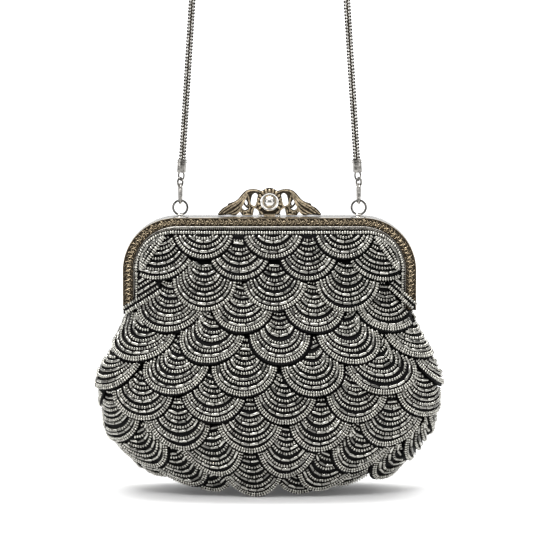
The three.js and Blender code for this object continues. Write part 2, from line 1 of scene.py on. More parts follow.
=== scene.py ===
"""Dressed model of a beaded evening bag: satin pouch, scalloped tiers of bead strings, chased frame,
pierced leaf clasp, rings, lobster clasps and a woven chain strap. Lengths in the tables are millimetres above
the lowest lobes, with the front towards -Y, and on_bag() takes them to the frame's metres."""

import math

import bmesh
import bpy
import numpy as np
from mathutils import Matrix, Vector


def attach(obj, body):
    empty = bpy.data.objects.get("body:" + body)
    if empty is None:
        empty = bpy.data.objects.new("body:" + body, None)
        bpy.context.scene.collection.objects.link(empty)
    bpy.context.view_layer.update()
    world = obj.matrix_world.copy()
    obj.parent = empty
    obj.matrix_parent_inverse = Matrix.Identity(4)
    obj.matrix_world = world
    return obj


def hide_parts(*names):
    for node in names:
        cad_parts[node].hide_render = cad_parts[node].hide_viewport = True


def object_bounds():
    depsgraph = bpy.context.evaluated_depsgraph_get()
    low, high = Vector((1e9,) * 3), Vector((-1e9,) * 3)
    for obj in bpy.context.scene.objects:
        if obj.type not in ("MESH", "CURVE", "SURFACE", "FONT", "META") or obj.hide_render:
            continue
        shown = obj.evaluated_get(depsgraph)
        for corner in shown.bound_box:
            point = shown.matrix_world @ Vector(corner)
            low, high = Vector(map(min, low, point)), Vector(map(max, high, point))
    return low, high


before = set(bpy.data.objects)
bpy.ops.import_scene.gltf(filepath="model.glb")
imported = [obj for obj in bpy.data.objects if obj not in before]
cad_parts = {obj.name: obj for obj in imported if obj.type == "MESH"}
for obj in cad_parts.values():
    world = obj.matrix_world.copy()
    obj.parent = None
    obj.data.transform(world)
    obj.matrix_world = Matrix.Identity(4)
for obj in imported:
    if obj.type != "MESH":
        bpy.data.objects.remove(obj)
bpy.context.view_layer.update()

MM = 0.001
STRAP_Y = 3.2
HANG_HEIGHT = 334.7
BODY = "bag"
CLASP_BODY = "clasp"
rng = np.random.default_rng(31)


def on_bag(points):
    """Millimetres in the bag's own frame as metres in the shared frame."""
    return (np.asarray(points, float) - (0, STRAP_Y, HANG_HEIGHT)) * MM


def unit(vectors):
    return vectors / np.linalg.norm(vectors, axis=-1, keepdims=True)


# The pouch's surface

SECTION_POWER = 2.3
# Height, half width, half depth and lift of the sides, from the mouth down to the hanging skirt.
SECTIONS = (
    (156, 60, 4.8, 0),
    (152, 71, 5, 0),
    (144, 77.5, 5.4, 0),
    (132, 79.4, 6.6, 0),
    (110, 79.4, 11, 0),
    (97, 80, 14.5, 0),
    (82, 86, 19, 0),
    (66, 94, 23, 1),
    (48, 93, 25.5, 2.5),
    (30, 89, 25.5, 5),
    (16, 79, 22, 7.5),
    (8, 71.5, 17.5, 9),
    (-3, 61.5, 12, 9.5),
)
LEVELS = np.arange(-8, 161, 1.0)
SHARE_STEPS, FINE_STEPS = 720, 4000
# Reach and width, in levels, of the window that eases the corners between sections.
EASE_REACH, EASE_WIDTH = 12, 4.5


def softened(column):
    """One column of the section table at every level, with the corners between sections eased."""
    heights, values = zip(*sorted((row[0], row[column]) for row in SECTIONS))
    fine = np.interp(np.arange(LEVELS[0] - EASE_REACH, LEVELS[-1] + EASE_REACH + 1), heights, values)
    kernel = np.exp(-(np.arange(-EASE_REACH, EASE_REACH + 1) / EASE_WIDTH) ** 2 / 2)
    return np.convolve(fine, kernel / kernel.sum(), mode="valid")


HALF_WIDTH, HALF_DEPTH, LIFT = (softened(column) for column in (1, 2, 3))


def powered(values):
    return np.sign(values) * np.abs(values) ** (2 / SECTION_POWER)


def section_walk(half_width, half_depth):
    """Even steps round a section from the middle of its front towards +X, with its girth."""
    turn = np.linspace(0, 2 * math.pi, FINE_STEPS + 1)
    x, y = half_width * powered(np.sin(turn)), -half_depth * powered(np.cos(turn))
    length = np.concatenate(([0], np.cumsum(np.hypot(np.diff(x), np.diff(y)))))
    steps = np.linspace(0, length[-1], SHARE_STEPS + 1)
    return np.interp(steps, length, x), np.interp(steps, length, y), length[-1]


def ground_grid():
    """Points, normals and girths of the ground on the grid of levels and shares."""
    points, girths = [], []
    for level, half_width, half_depth, lift in zip(LEVELS, HALF_WIDTH, HALF_DEPTH, LIFT):
        x, y, girth = section_walk(half_width, half_depth)
        points.append(np.stack([x, y, level + lift * (x / half_width) ** 2], axis=-1))
        girths.append(girth)
    points = np.array(points)
    around = np.gradient(points[:, :-1], axis=1)
    around[:, 0] = around[:, -1] = points[:, 1] - points[:, -2]
    around = np.concatenate([around, around[:, :1]], axis=1)
    return points, unit(np.cross(around, np.gradient(points, axis=0))), np.array(girths)


GROUND, GROUND_NORMAL, GIRTH = ground_grid()


def looked_up(grid, share, z):
    """Bilinear look-up of a ground grid."""
    column = (share - np.floor(share)) * SHARE_STEPS
    row = np.clip(z - LEVELS[0], 0, len(LEVELS) - 1.001)
    i, j = row.astype(int), np.minimum(column.astype(int), SHARE_STEPS - 1)
    down, across = (row - i)[..., None], (column - j)[..., None]
    near = grid[i, j] * (1 - across) + grid[i, j + 1] * across
    far = grid[i + 1, j] * (1 - across) + grid[i + 1, j + 1] * across
    return near * (1 - down) + far * down


# Rows of scallops

FLAP_THICKNESS = 1.0
FLAP_SLOPE = 0.14
LOBE_RADIUS = 17.8
FRONT_LOBES = 5
FRAME_HALF_WIDTH, FRAME_TOP, FRAME_ARM_END, FRAME_CORNER = 85, 160, 106, 31
FRAME_HALF_DEPTH, FRAME_BAND = 6.4, 7
CORNER_X, CORNER_Z = FRAME_HALF_WIDTH - FRAME_CORNER, FRAME_TOP - FRAME_CORNER
# Gap from the strips to the frame's inner edge.
PANEL_GAP = 0.3
# Where a strip lies on the frame's arms, its width there, its climb on to them and its clearance over them.
ARM_OVERLAP_X, ARM_FLAP_WIDTH, ARM_CLIMB, ARM_CLEARANCE = 76.2, 4, 2.4, 1.3
# How far a strip faces outwards at its sides, and downwards.
PANEL_TURN, PANEL_DROOP = 0.25, 0.12
# Width over which the tiers' sewn edges step down to the height of the arms' ends.
SIDE_TOP_FROM, SIDE_TOP_TO, SIDE_TOP_Z = 66, 76, 105.5
# How far beyond its edge a lobe, or below its line a rope, hides the strings under it.
LOBE_COVER, ROPE_COVER = 0.5, 1
# Ropes that end a row at the frame's corners and over its arms, each from its inner to its outer end.
CORNER_FLAPS = (((-60.8, 149.4), (-74.4, 130)), ((60.8, 149.4), (74.4, 130)))
ARM_FLAPS = (((-62.5, 118.5), (-83.2, 105)), ((68.5, 121), (83.2, 107.5)))


class Row:
    """A row of scallops: a strip inside the frame when side is given, else a tier right round the pouch."""

    def __init__(self, number, top, tip, centre=0, lobes=0, back=None, centres=(), lifts=(), reach=None,
                 base=1.2, side=None):
        self.number, self.top, self.tip = number, top, tip
        self.base, self.side, self.reach = base, side, reach
        self.around = float(np.interp((top + tip) / 2, LEVELS, GIRTH))
        self.centres = np.array(centres or self.lobes_round(centre, lobes, back or lobes - FRONT_LOBES))
        self.tips = tip + np.array(lifts or [0] * len(self.centres), float)
        self.flaps = {1: CORNER_FLAPS, 3: ARM_FLAPS}.get(number, ())
        facing = {-1: "_front", 1: "_back", None: ""}[side]
        self.name = f"flap_row_{number}{facing}"

    def lobes_round(self, centre, lobes, back):
        """Middles of the lobes: in front as far apart as so many round the pouch, and even behind."""
        front = centre + (np.arange(FRONT_LOBES) - FRONT_LOBES // 2) * self.around / lobes
        behind = np.linspace(front[-1], front[0] + self.around, back + 2)[1:-1]
        return [*front, *behind]

    def offset(self, z):
        """Distance of the strip's inner face from the ground, which grows from its sewn edge down."""
        return self.base + FLAP_SLOPE * (self.top - z)

    def top_at(self, along):
        """Height of the strip's sewn edge, which the frame's corner or the arms' ends limit."""
        along = np.asarray(along, float)
        if self.side:
            side = np.abs(along)
            inner = FRAME_CORNER - FRAME_BAND - PANEL_GAP
            corner = CORNER_Z + np.sqrt(np.maximum(0, inner**2 - np.maximum(0, side - CORNER_X) ** 2))
            over_arm = self.flap_line(along) + ARM_FLAP_WIDTH
            return np.where(side > ARM_OVERLAP_X, over_arm, np.minimum(self.top, corner))
        x = looked_up(GROUND, along / self.around, np.full(along.shape, self.top))[..., 0]
        part = np.clip((np.abs(x) - SIDE_TOP_FROM) / (SIDE_TOP_TO - SIDE_TOP_FROM), 0, 1)
        return self.top + part * (min(self.top, SIDE_TOP_Z) - self.top)

    def flap_line(self, along):
        """Height of the rope that ends the row towards the frame, or far above where there is none."""
        height = np.full(np.shape(along), FRAME_TOP, float)
        for inner, outer in self.flaps:
            past = (along - inner[0]) / (outer[0] - inner[0])
            line = np.interp(past, (0, 1), (inner[1], outer[1]))
            height = np.where(past > 0, line, height)
        return height

    def place(self, along, z, stand=0.0):
        """Points standing off the inner face of the strip, and their outward normals."""
        along, z = np.broadcast_arrays(np.asarray(along, float), np.asarray(z, float))
        if self.side:
            return self.place_on_panel(along, z, stand)
        share = along / self.around
        normal = looked_up(GROUND_NORMAL, share, z)
        return looked_up(GROUND, share, z) + normal * (self.offset(z) + stand)[..., None], normal

    def place_on_panel(self, x, z, stand):
        """The same for a strip in the frame, which is laid out by x and lies over the arms at its ends."""
        half_width = np.interp(z, LEVELS, HALF_WIDTH)
        share = np.minimum(1, np.abs(x) / half_width)
        depth = np.interp(z, LEVELS, HALF_DEPTH) * (1 - share**SECTION_POWER) ** (1 / SECTION_POWER)
        climb = np.clip((np.abs(x) - ARM_OVERLAP_X + ARM_CLIMB) / ARM_CLIMB, 0, 1)
        depth = np.maximum(depth + self.offset(z), climb * (FRAME_HALF_DEPTH + ARM_CLEARANCE)) + stand
        outwards = PANEL_TURN * x / half_width
        normal = unit(np.stack([outwards, -np.ones_like(x), np.full_like(x, -PANEL_DROOP)], axis=-1))
        points = np.stack([x, -depth, z], axis=-1)
        facing = np.array([-self.side, -self.side, 1.0])
        return points * facing, normal * facing

    def covers(self, along, z):
        """Where this row hides the strings under it."""
        hidden = (z > max(self.tips) + LOBE_RADIUS - LOBE_COVER) | (z > self.flap_line(along) - ROPE_COVER)
        for centre, tip in zip(self.centres, self.tips):
            across = along - centre
            if not self.side:
                across -= self.around * np.round(across / self.around)
            hidden |= np.hypot(across, z - tip - LOBE_RADIUS) < LOBE_RADIUS + LOBE_COVER
        return hidden


# Each row: number, height of its sewn edge, height of its lowest tip, and the places of its lobes.
def rows_in_frame(side):
    """The three strips in the frame's opening, in front or behind."""
    return [
        Row(1, 152.3, 136.3, centres=(-38, 2, 43.2), reach=76, base=3.9, side=side),
        Row(2, 150, 124, centres=(-63.5, -17.1, 22.3, 64.7), reach=76, base=1.9, side=side),
        Row(3, 136, 106.5, centres=(-37.4, 3.2, 45), reach=84.5, base=1.6, side=side),
    ]


RING_ROWS = [
    Row(4, 124, 92.8, -15.4, lobes=8),
    Row(5, 107.5, 75.4, 6, lobes=9, back=5),
    Row(6, 93, 58, -14.2, lobes=10),
    Row(7, 73, 43, 9, lobes=10),
    Row(8, 58, 27.3, -11.3, lobes=10),
    Row(9, 43, 13.3, 10, lobes=9, back=5),
    Row(10, 27.5, 0.5, -9.6, lobes=8, back=5, lifts=(3.5, 2, 0, 2.5, 2, 2, 1.5, 1.2, 1.5, 2)),
    Row(11, 13.5, 0, centres=(-35.7, 19.4, 44, 82, 112, 143.5, 175, 205.5, 238),
        lifts=(0.3, 0.5, 2.5, 2.5, 1.2, 1, 1, 1.5, 3)),
]
FRONT_ROWS, BACK_ROWS = rows_in_frame(-1), rows_in_frame(1)


# Materials

COLOR, VALUE, VECTOR = "NodeSocketColor", "NodeSocketFloat", "NodeSocketVector"
# Places of the colour sockets on a Mix node.
MIX_A, MIX_B, MIX_RESULT = 6, 7, 2


def add_node(tree, kind, **values):
    node = tree.nodes.new(kind)
    for key, value in values.items():
        if key in node.inputs:
            node.inputs[key].default_value = value
        else:
            setattr(node, key, value)
    return node


def join(tree, source, target):
    tree.links.new(source, target)


def new_material(name, color, roughness, metallic=0.0):
    """A material with its plain finish, its node tree and its shader."""
    material = bpy.data.materials.new(name)
    material.use_nodes = True
    shader = material.node_tree.nodes["Principled BSDF"]
    shader.inputs["Base Color"].default_value = (*color, 1)
    shader.inputs["Roughness"].default_value = roughness
    shader.inputs["Metallic"].default_value = metallic
    return material, material.node_tree, shader


def new_group(name, inputs, outputs):
    """A shader node group with its named sockets, and its two end nodes."""
    group = bpy.data.node_groups.new(name, "ShaderNodeTree")
    for label, kind in inputs:
        group.interface.new_socket(label, in_out="INPUT", socket_type=kind)
    for label, kind in outputs:
        group.interface.new_socket(label, in_out="OUTPUT", socket_type=kind)
    return group, add_node(group, "NodeGroupInput"), add_node(group, "NodeGroupOutput")


def mixed(tree, factor, dark, light):
    """A colour between two colour sockets."""
    mix = add_node(tree, "ShaderNodeMix", data_type="RGBA")
    join(tree, factor, mix.inputs["Factor"])
    join(tree, dark, mix.inputs[MIX_A])
    join(tree, light, mix.inputs[MIX_B])
    return mix.outputs[MIX_RESULT]


def tarnish_group():
    """Oxidised metal: dark in the hollows of a fine noise, rubbed light elsewhere, and a little uneven."""
    inputs = [("Dark", COLOR), ("Light", COLOR), ("Scale", VALUE), ("Unevenness", VALUE)]
    group, given, made = new_group("tarnish", inputs, [("Color", COLOR), ("Normal", VECTOR)])
    place = add_node(group, "ShaderNodeTexCoord")
    stain = add_node(group, "ShaderNodeTexNoise", Detail=4, Roughness=0.65)
    join(group, place.outputs["Object"], stain.inputs["Vector"])
    join(group, given.outputs["Scale"], stain.inputs["Scale"])
    rubbed = add_node(group, "ShaderNodeMapRange", **{"From Min": 0.36, "From Max": 0.62})
    join(group, stain.outputs["Fac"], rubbed.inputs["Value"])
    color = mixed(group, rubbed.outputs["Result"], given.outputs["Dark"], given.outputs["Light"])
    join(group, color, made.inputs["Color"])
    bump = add_node(group, "ShaderNodeBump", Distance=0.0002)
    join(group, given.outputs["Unevenness"], bump.inputs["Strength"])
    join(group, stain.outputs["Fac"], bump.inputs["Height"])
    join(group, bump.outputs["Normal"], made.inputs["Normal"])
    return group


def lining_group():
    """Silver lining of glass beads: each bead's own tone, read from the mesh, under a faint mottle."""
    group, given, made = new_group("bead_lining", [("Dark", COLOR), ("Light", COLOR)], [("Color", COLOR)])
    tone = add_node(group, "ShaderNodeAttribute", attribute_name="tone")
    place = add_node(group, "ShaderNodeTexCoord")
    mottle = add_node(group, "ShaderNodeTexNoise", Scale=1400, Detail=2)
    join(group, place.outputs["Object"], mottle.inputs["Vector"])
    spread = add_node(group, "ShaderNodeMapRange", **{"To Min": -0.25, "To Max": 0.25})
    join(group, mottle.outputs["Fac"], spread.inputs["Value"])
    total = add_node(group, "ShaderNodeMath", operation="ADD", use_clamp=True)
    join(group, tone.outputs["Fac"], total.inputs[0])
    join(group, spread.outputs["Result"], total.inputs[1])
    color = mixed(group, total.outputs["Value"], given.outputs["Dark"], given.outputs["Light"])
    join(group, color, made.inputs["Color"])
    return group


TARNISH, LINING = tarnish_group(), lining_group()


def satin_material():
    """Black satin: a fine twill bump with a soft sheen."""
    material, tree, shader = new_material("black_satin", (0.0018, 0.0018, 0.002), 0.6)
    place = add_node(tree, "ShaderNodeTexCoord")
    weave = add_node(tree, "ShaderNodeTexWave", Scale=2600, Distortion=0.4, Detail=1)
    weave.bands_direction = "DIAGONAL"
    join(tree, place.outputs["Object"], weave.inputs["Vector"])
    bump = add_node(tree, "ShaderNodeBump", Strength=0.25, Distance=0.0001)
    join(tree, weave.outputs["Fac"], bump.inputs["Height"])
    join(tree, bump.outputs["Normal"], shader.inputs["Normal"])
    shader.inputs["Specular IOR Level"].default_value = 0.12
    return material


def bead_material(name, dark, light, roughness):
    """Silver-lined glass under a clear coat."""
    material, tree, shader = new_material(name, light, roughness, metallic=0.92)
    lining = add_node(tree, "ShaderNodeGroup", node_tree=LINING)
    lining.inputs["Dark"].default_value = (*dark, 1)
    lining.inputs["Light"].default_value = (*light, 1)
    join(tree, lining.outputs["Color"], shader.inputs["Base Color"])
    shader.inputs["Coat Weight"].default_value = 0.6
    shader.inputs["Coat Roughness"].default_value = 0.08
    return material


def antique_material(name, dark, light, roughness, scale=900):
    """Silver, more or less oxidised, with stains of a size set by the scale."""
    material, tree, shader = new_material(name, light, roughness, metallic=1.0)
    tarnish = add_node(tree, "ShaderNodeGroup", node_tree=TARNISH)
    tarnish.inputs["Dark"].default_value = (*dark, 1)
    tarnish.inputs["Light"].default_value = (*light, 1)
    tarnish.inputs["Scale"].default_value = scale
    tarnish.inputs["Unevenness"].default_value = 0.2
    join(tree, tarnish.outputs["Color"], shader.inputs["Base Color"])
    join(tree, tarnish.outputs["Normal"], shader.inputs["Normal"])
    return material


SATIN = satin_material()
SEED_SILVER = bead_material("seed_beads", (0.07, 0.068, 0.06), (0.54, 0.53, 0.48), 0.22)
BUGLE_SILVER = bead_material("bugle_beads", (0.056, 0.055, 0.049), (0.51, 0.5, 0.455), 0.16)
POLISHED = antique_material("polished_silver", (0.62, 0.6, 0.57), (0.8, 0.79, 0.76), 0.14, 260)
RELIEF = antique_material("antique_relief", (0.155, 0.118, 0.075), (0.5, 0.405, 0.272), 0.34)
# Dark patina in the hollows of the frame's band and of the leafwork; on the chain the same finish is painted
# shade, on its side links and its core.
RECESS_AND_PAINTED_SHADE = antique_material("antique_recess_and_painted_shade", (0.017, 0.0138, 0.0096), (0.075, 0.06, 0.043), 0.7)
LEAFWORK = antique_material("antique_leaf", (0.1, 0.078, 0.05), (0.5, 0.41, 0.285), 0.34)
CHAIN_SILVER = antique_material("chain_silver", (0.24, 0.233, 0.217), (0.8, 0.785, 0.745), 0.34)
DARK_WIRE = antique_material("dark_wire", (0.03, 0.029, 0.027), (0.16, 0.155, 0.145), 0.26)
FITTING = antique_material("fitting_silver", (0.09, 0.086, 0.079), (0.36, 0.346, 0.322), 0.18, 500)
RIM = antique_material("rim_silver", (0.3, 0.285, 0.26), (0.56, 0.54, 0.5), 0.3, 500)


# Mesh helpers


def finish_piece(name, mesh, materials, body=BODY):
    """A mesh as a smooth piece of the bag, at the origin, riding on its body."""
    piece = bpy.data.objects.new(name, mesh)
    bpy.context.scene.collection.objects.link(piece)
    for material in materials:
        mesh.materials.append(material)
    mesh.shade_smooth()
    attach(piece, body)
    return piece


def mesh_from(shape, name):
    """The bmesh as a mesh; the bmesh itself isn't kept."""
    mesh = bpy.data.meshes.new(name)
    shape.to_mesh(mesh)
    shape.free()
    return mesh


def template_of(shape):
    """Points and triangles of a small shape that is repeated many times."""
    bmesh.ops.recalc_face_normals(shape, faces=shape.faces)
    bmesh.ops.triangulate(shape, faces=shape.faces)
    shape.verts.ensure_lookup_table()
    points = np.array([vert.co for vert in shape.verts])
    triangles = np.array([[vert.index for vert in face.verts] for face in shape.faces])
    shape.free()
    return points, triangles


def repeated(name, batches):
    """One mesh of many copies: each batch has a template, frames of (origin, three axes) and tones."""
    points, triangles, tones, slots, start = [], [], [], [], 0
    for slot, ((shape, faces), origins, axes, tone) in enumerate(batches):
        if not len(origins):
            continue
        points.append((origins[:, None] + np.einsum("pk,nkc->npc", shape, axes)).reshape(-1, 3))
        steps = start + np.arange(len(origins))[:, None, None] * len(shape)
        triangles.append((faces[None] + steps).reshape(-1, 3))
        tones.append(np.repeat(tone, len(shape)))
        slots.append(np.full(len(origins) * len(faces), slot))
        start += len(origins) * len(shape)
    points, triangles = on_bag(np.concatenate(points)), np.concatenate(triangles)
    mesh = bpy.data.meshes.new(name)
    mesh.vertices.add(len(points))
    mesh.vertices.foreach_set("co", points.ravel())
    mesh.loops.add(triangles.size)
    mesh.loops.foreach_set("vertex_index", triangles.ravel().astype(np.int32))
    mesh.polygons.add(len(triangles))
    mesh.polygons.foreach_set("loop_start", np.arange(0, triangles.size, 3, dtype=np.int32))
    mesh.polygons.foreach_set("material_index", np.concatenate(slots).astype(np.int32))
    mesh.attributes.new("tone", "FLOAT", "POINT").data.foreach_set("value", np.concatenate(tones))
    mesh.update(calc_edges=True)
    mesh.validate()
    return mesh


def bead_template(sides, cuts, end):
    """A bead one unit long on X: a barrel of radius 1 at its cuts, drawn in at its ends."""
    shape = bmesh.new()
    bmesh.ops.create_cone(shape, cap_ends=True, segments=sides, radius1=end, radius2=end, depth=1)
    for height in cuts:
        parts = [*shape.verts, *shape.edges, *shape.faces]
        bmesh.ops.bisect_plane(shape, geom=parts, plane_co=(0, 0, height), plane_no=(0, 0, 1))
    for vert in shape.verts:
        if abs(vert.co.z) < 0.499:
            vert.co.xy *= 1 / end
    bmesh.ops.rotate(shape, verts=shape.verts, matrix=Matrix.Rotation(math.pi / 2, 3, "Y"))
    return template_of(shape)


SEED = bead_template(sides=8, cuts=(0,), end=0.58)
BUGLE = bead_template(sides=7, cuts=(-0.42, 0.42), end=0.72)
# Pitch along the string, length, radius, and mean of the beads' tones.
BEADS = {
    "rope": (1.46, 1.2, 0.88, 0.74),
    "cord": (1.5, 1.24, 1.02, 0.74),
    "edge": (1.5, 1.22, 1.1, 0.72),
    "seed": (1.54, 1.26, 1.08, 0.62),
    "bugle": (5.2, 5.1, 0.92, 0.52),
}
# Half the distance between a rope's two beads, and a cord bead's breadth, as shares of a bead's size.
ROPE_SPREAD = 0.8
CORD_BREADTH = 1.42
# Added to a string's length in beads before the part bead at its end is dropped.
SPARE_BUGLE, SPARE_SEED = 0.6, 0.35
# How far a bugle may be longer than its table says, to fill its string.
MOST_STRETCH = 1.25
# Least and most of the beads' breadths and lengths, and spread of their places and tones.
BREADTHS, LENGTHS, PLACE_SPREAD, TONE_SPREAD = (0.92, 1.06), (0.94, 1), 0.05, 0.2


class BeadWork:
    """Seed and bugle beads threaded along strings, gathered until they become one mesh."""

    def __init__(self):
        self.seeds, self.bugles = [], []

    def thread(self, points, normals, kind):
        """Threads beads along a polyline whose points lie on the cloth."""
        pitch, length, radius, tone = BEADS[kind]
        store = self.bugles if kind == "bugle" else self.seeds
        along = np.concatenate(([0], np.cumsum(np.linalg.norm(np.diff(points, axis=0), axis=1))))
        count = int(along[-1] / pitch + (SPARE_BUGLE if kind == "bugle" else SPARE_SEED))
        if count < 1:
            return
        step = along[-1] / count if kind == "bugle" else pitch
        stretch = min(MOST_STRETCH, step / pitch)
        middles = (np.arange(count) + 0.5) * step + (along[-1] - count * step) / 2
        ends = np.stack([middles - length * stretch / 2, middles + length * stretch / 2])
        tail, head = (np.stack([np.interp(e, along, points[:, k]) for k in range(3)], axis=-1) for e in ends)
        normal = unit(np.stack([np.interp(middles, along, normals[:, k]) for k in range(3)], axis=-1))
        axis = head - tail
        side = unit(np.cross(normal, unit(axis)))
        lift = np.cross(unit(axis), side)
        size = radius * rng.uniform(*BREADTHS, (count, 1))
        centre = (head + tail) / 2 + lift * size + rng.normal(0, PLACE_SPREAD, (count, 3))
        breadth = side * size * (CORD_BREADTH if kind == "cord" else 1)
        frames = np.stack([axis * rng.uniform(*LENGTHS, (count, 1)), breadth, lift * size], axis=1)
        for share in (-ROPE_SPREAD, ROPE_SPREAD) if kind == "rope" else (0,):
            tones = np.clip(rng.normal(tone, TONE_SPREAD, count), 0, 1)
            store.append((centre + share * radius * side, frames, tones))

    def mesh(self, name):
        def gathered(store):
            if not store:
                return np.zeros((0, 3)), np.zeros((0, 3, 3)), np.zeros(0)
            return tuple(np.concatenate(parts) for parts in zip(*store))

        return repeated(name, [(SEED, *gathered(self.seeds)), (BUGLE, *gathered(self.bugles))])


# Pouch, flaps and their beads

POUCH_ROUNDS, POUCH_STEPS, POUCH_BOTTOM, POUCH_MOUTH = 120, 44, 6, 155
# What is left of the pouch's depth along its bottom seam.
SEAM_SHARE = 0.02
# Guessed flat sizes over the sizes in place: a tier's length, a flap's height and the pouch's height.
TIER_LENGTH_EASE, FLAP_HEIGHT_EASE, POUCH_HEIGHT_EASE = 1.1, 1.15, 1.35


def cloth_piece(name, shape, node):
    """A sheet of satin from its laid-out bmesh, with a wall standing outwards. No pattern is drawn; the area
    of its own surface in place is summed but not used."""
    area = sum(face.calc_area() for face in shape.faces)
    piece = finish_piece(name, mesh_from(shape, name), [SATIN])
    wall = piece.modifiers.new("cloth", "SOLIDIFY")
    wall.thickness, wall.offset = FLAP_THICKNESS * MM, 1
    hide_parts(node)


def pouch_shell():
    """The pouch's wall: a tube laid on the ground surface and sewn flat along its bottom."""
    shape = bmesh.new()
    bmesh.ops.create_grid(shape, x_segments=POUCH_ROUNDS, y_segments=POUCH_STEPS, size=0.5)
    spots = np.array([vert.co for vert in shape.verts]) + 0.5
    share, part = np.clip(spots[:, 0], 0, 0.999999), spots[:, 1]
    z = POUCH_BOTTOM + (POUCH_MOUTH - POUCH_BOTTOM) * part
    points = looked_up(GROUND, share, z) - looked_up(GROUND_NORMAL, share, z) * FLAP_THICKNESS
    points[np.rint(part * POUCH_STEPS) == 0, 1] *= SEAM_SHARE
    for vert, point in zip(shape.verts, on_bag(points)):
        vert.co = point
    bmesh.ops.remove_doubles(shape, verts=shape.verts, dist=2e-5)
    bmesh.ops.recalc_face_normals(shape, faces=shape.faces)
    flat = (max(GIRTH) * MM, (POUCH_MOUTH - POUCH_BOTTOM) * POUCH_HEIGHT_EASE * MM)
    cloth_piece("pouch_satin", shape, "pouch")


# Height of each string's lowest point above the lobe's tip, and its beads.
STRINGS = (
    (2, "rope"), (4.9, "bugle"), (7.5, "seed"), (10.2, "bugle"), (12.9, "seed"), (15.6, "bugle"),
    (18.3, "seed"), (21, "bugle"), (23.7, "seed"), (26.4, "bugle"), (29.1, "seed"), (31.8, "seed"),
    (34.3, "seed"),
)
# Strings over the frame's corners and over its arms: how far they bow out from their rope, and their beads.
CORNER_STRINGS = ((4.9, "bugle"), (2.6, "seed"), (0, "cord"))
ARM_STRINGS = ((11, "bugle"), (8.4, "seed"), (5.7, "bugle"), (2.9, "seed"), (0, "cord"))
FAN_POINTS = 60
# Least drop of a tier that gets cloth and strings, least height of its cloth, and height that is cut off.
LEAST_DROP, LEAST_HEIGHT, CUT_HEIGHT = 12.9, 1.5, 3
# Levels of a strip's grid, columns of a lobe and of each end of a strip in the frame, and width of that end.
STRIP_LEVELS, LOBE_COLUMNS, END_COLUMNS, END_WIDTH = 9, 15, 9, 14
# A string's radius: the lobe's less an inset and a share of its height, but not under a least radius.
STRING_INSET, STRING_SHRINK, LEAST_RADIUS = 0.3, 0.6, 8.5
# Degrees that a string turns each way from its lowest point, and the points on its round and straight parts.
STRING_TURN, ROUND_POINTS, RISE_POINTS = 88, 101, 40
# Length of a string's straight ends, and the shorter one of strings above a height that aren't beside an arm.
STRING_RISE, SHORT_RISE, LONG_BELOW = 15, 2, 9
BESIDE_ARM_X, ROWS_BESIDE_ARM = 60, (4, 5)
# A scallop's mean width and the spreads of its width, its tilt and its strings' heights.
SCALLOP_WIDTH, WIDTH_SPREAD, TILT_SPREAD, HEIGHT_SPREAD = 1.04, 0.03, 0.045, 0.32
# The scallops that end the second strip in front are wider and tilted.
END_SCALLOP_X, END_SCALLOP_WIDTH, END_SCALLOP_TILT = 55, 1.22, 0.28
# Room for the strings under a strip's sewn edge, in the first row and in the others, and at its ends.
FIRST_HEADROOM, HEADROOM, END_ROOM = 1.8, 0.6, 0.8
# Strings over the arms that bow out further than this stop beside the arm.
ARM_BOW = 4


def lobe_edge(row, along):
    """Height of the strip's lower edge."""
    across = along[:, None] - row.centres[None]
    if not row.side:
        across -= row.around * np.round(across / row.around)
    inside = np.minimum(np.abs(across) / LOBE_RADIUS, 1)
    edge = np.min(row.tips[None] + LOBE_RADIUS * (1 - np.sqrt(1 - inside**2)), axis=1)
    line = row.flap_line(along) - FLAP_THICKNESS
    return np.where(line < edge, line, edge) if row.number == 3 else edge


def strip_columns(row):
    """Places along a row where its lobed edge needs a column."""
    turns = np.radians(np.linspace(-90, 90, LOBE_COLUMNS))
    columns = (row.centres[:, None] + LOBE_RADIUS * np.sin(turns)[None]).ravel()
    if row.side:
        ends = np.linspace(ARM_OVERLAP_X - END_WIDTH, row.reach, END_COLUMNS)
        columns = columns[np.abs(columns) < ends[0]]
        return np.concatenate((-ends[::-1], np.sort(columns), ends))
    return np.sort(columns % row.around)


def flap_strip(row):
    """The row's satin strip: a grid drawn out to the lobes, with a thickness."""
    columns = strip_columns(row)
    count = len(columns) if row.side else len(columns) + 1
    along = columns if row.side else np.append(columns, columns[0] + row.around)
    top = row.top_at(along)
    edge = np.minimum(lobe_edge(row, columns)[np.arange(count) % len(columns)], top - LEAST_HEIGHT)
    sliver = (top < edge + CUT_HEIGHT) | (top < row.tip + LEAST_DROP) if not row.side else top < edge
    shape = bmesh.new()
    bmesh.ops.create_grid(shape, x_segments=count - 1, y_segments=STRIP_LEVELS - 1, size=0.5)
    shape.verts.ensure_lookup_table()
    spots = np.array([vert.co for vert in shape.verts])
    column = np.rint((spots[:, 0] + 0.5) * (count - 1)).astype(int)
    z = edge[column] + (top - edge)[column] * (spots[:, 1] + 0.5)
    points, _ = row.place(along[column], z)
    for vert, point in zip(shape.verts, on_bag(points)):
        vert.co = point
    slivers = [face for face in shape.faces if all(sliver[column[vert.index]] for vert in face.verts)]
    bmesh.ops.delete(shape, geom=slivers, context="FACES")
    bmesh.ops.remove_doubles(shape, verts=shape.verts, dist=1e-6)
    bmesh.ops.recalc_face_normals(shape, faces=shape.faces)
    outward = row.place(along[:1], z[:1])[1][0]
    if shape.faces[:][0].normal.dot(Vector(outward)) < 0:
        bmesh.ops.reverse_faces(shape, faces=shape.faces)
    cloth_piece(f"{row.name}_satin", shape, row.name)


def hidden_under(row, above, along, z):
    """Where the row above hides this row's strings."""
    if above.side and not row.side:
        spots, _ = row.place(along, z)
        return above.covers(np.where(spots[:, 1] < 0, spots[:, 0], -spots[:, 0]), z)
    return above.covers(along * (1 if row.side else above.around / row.around), z)


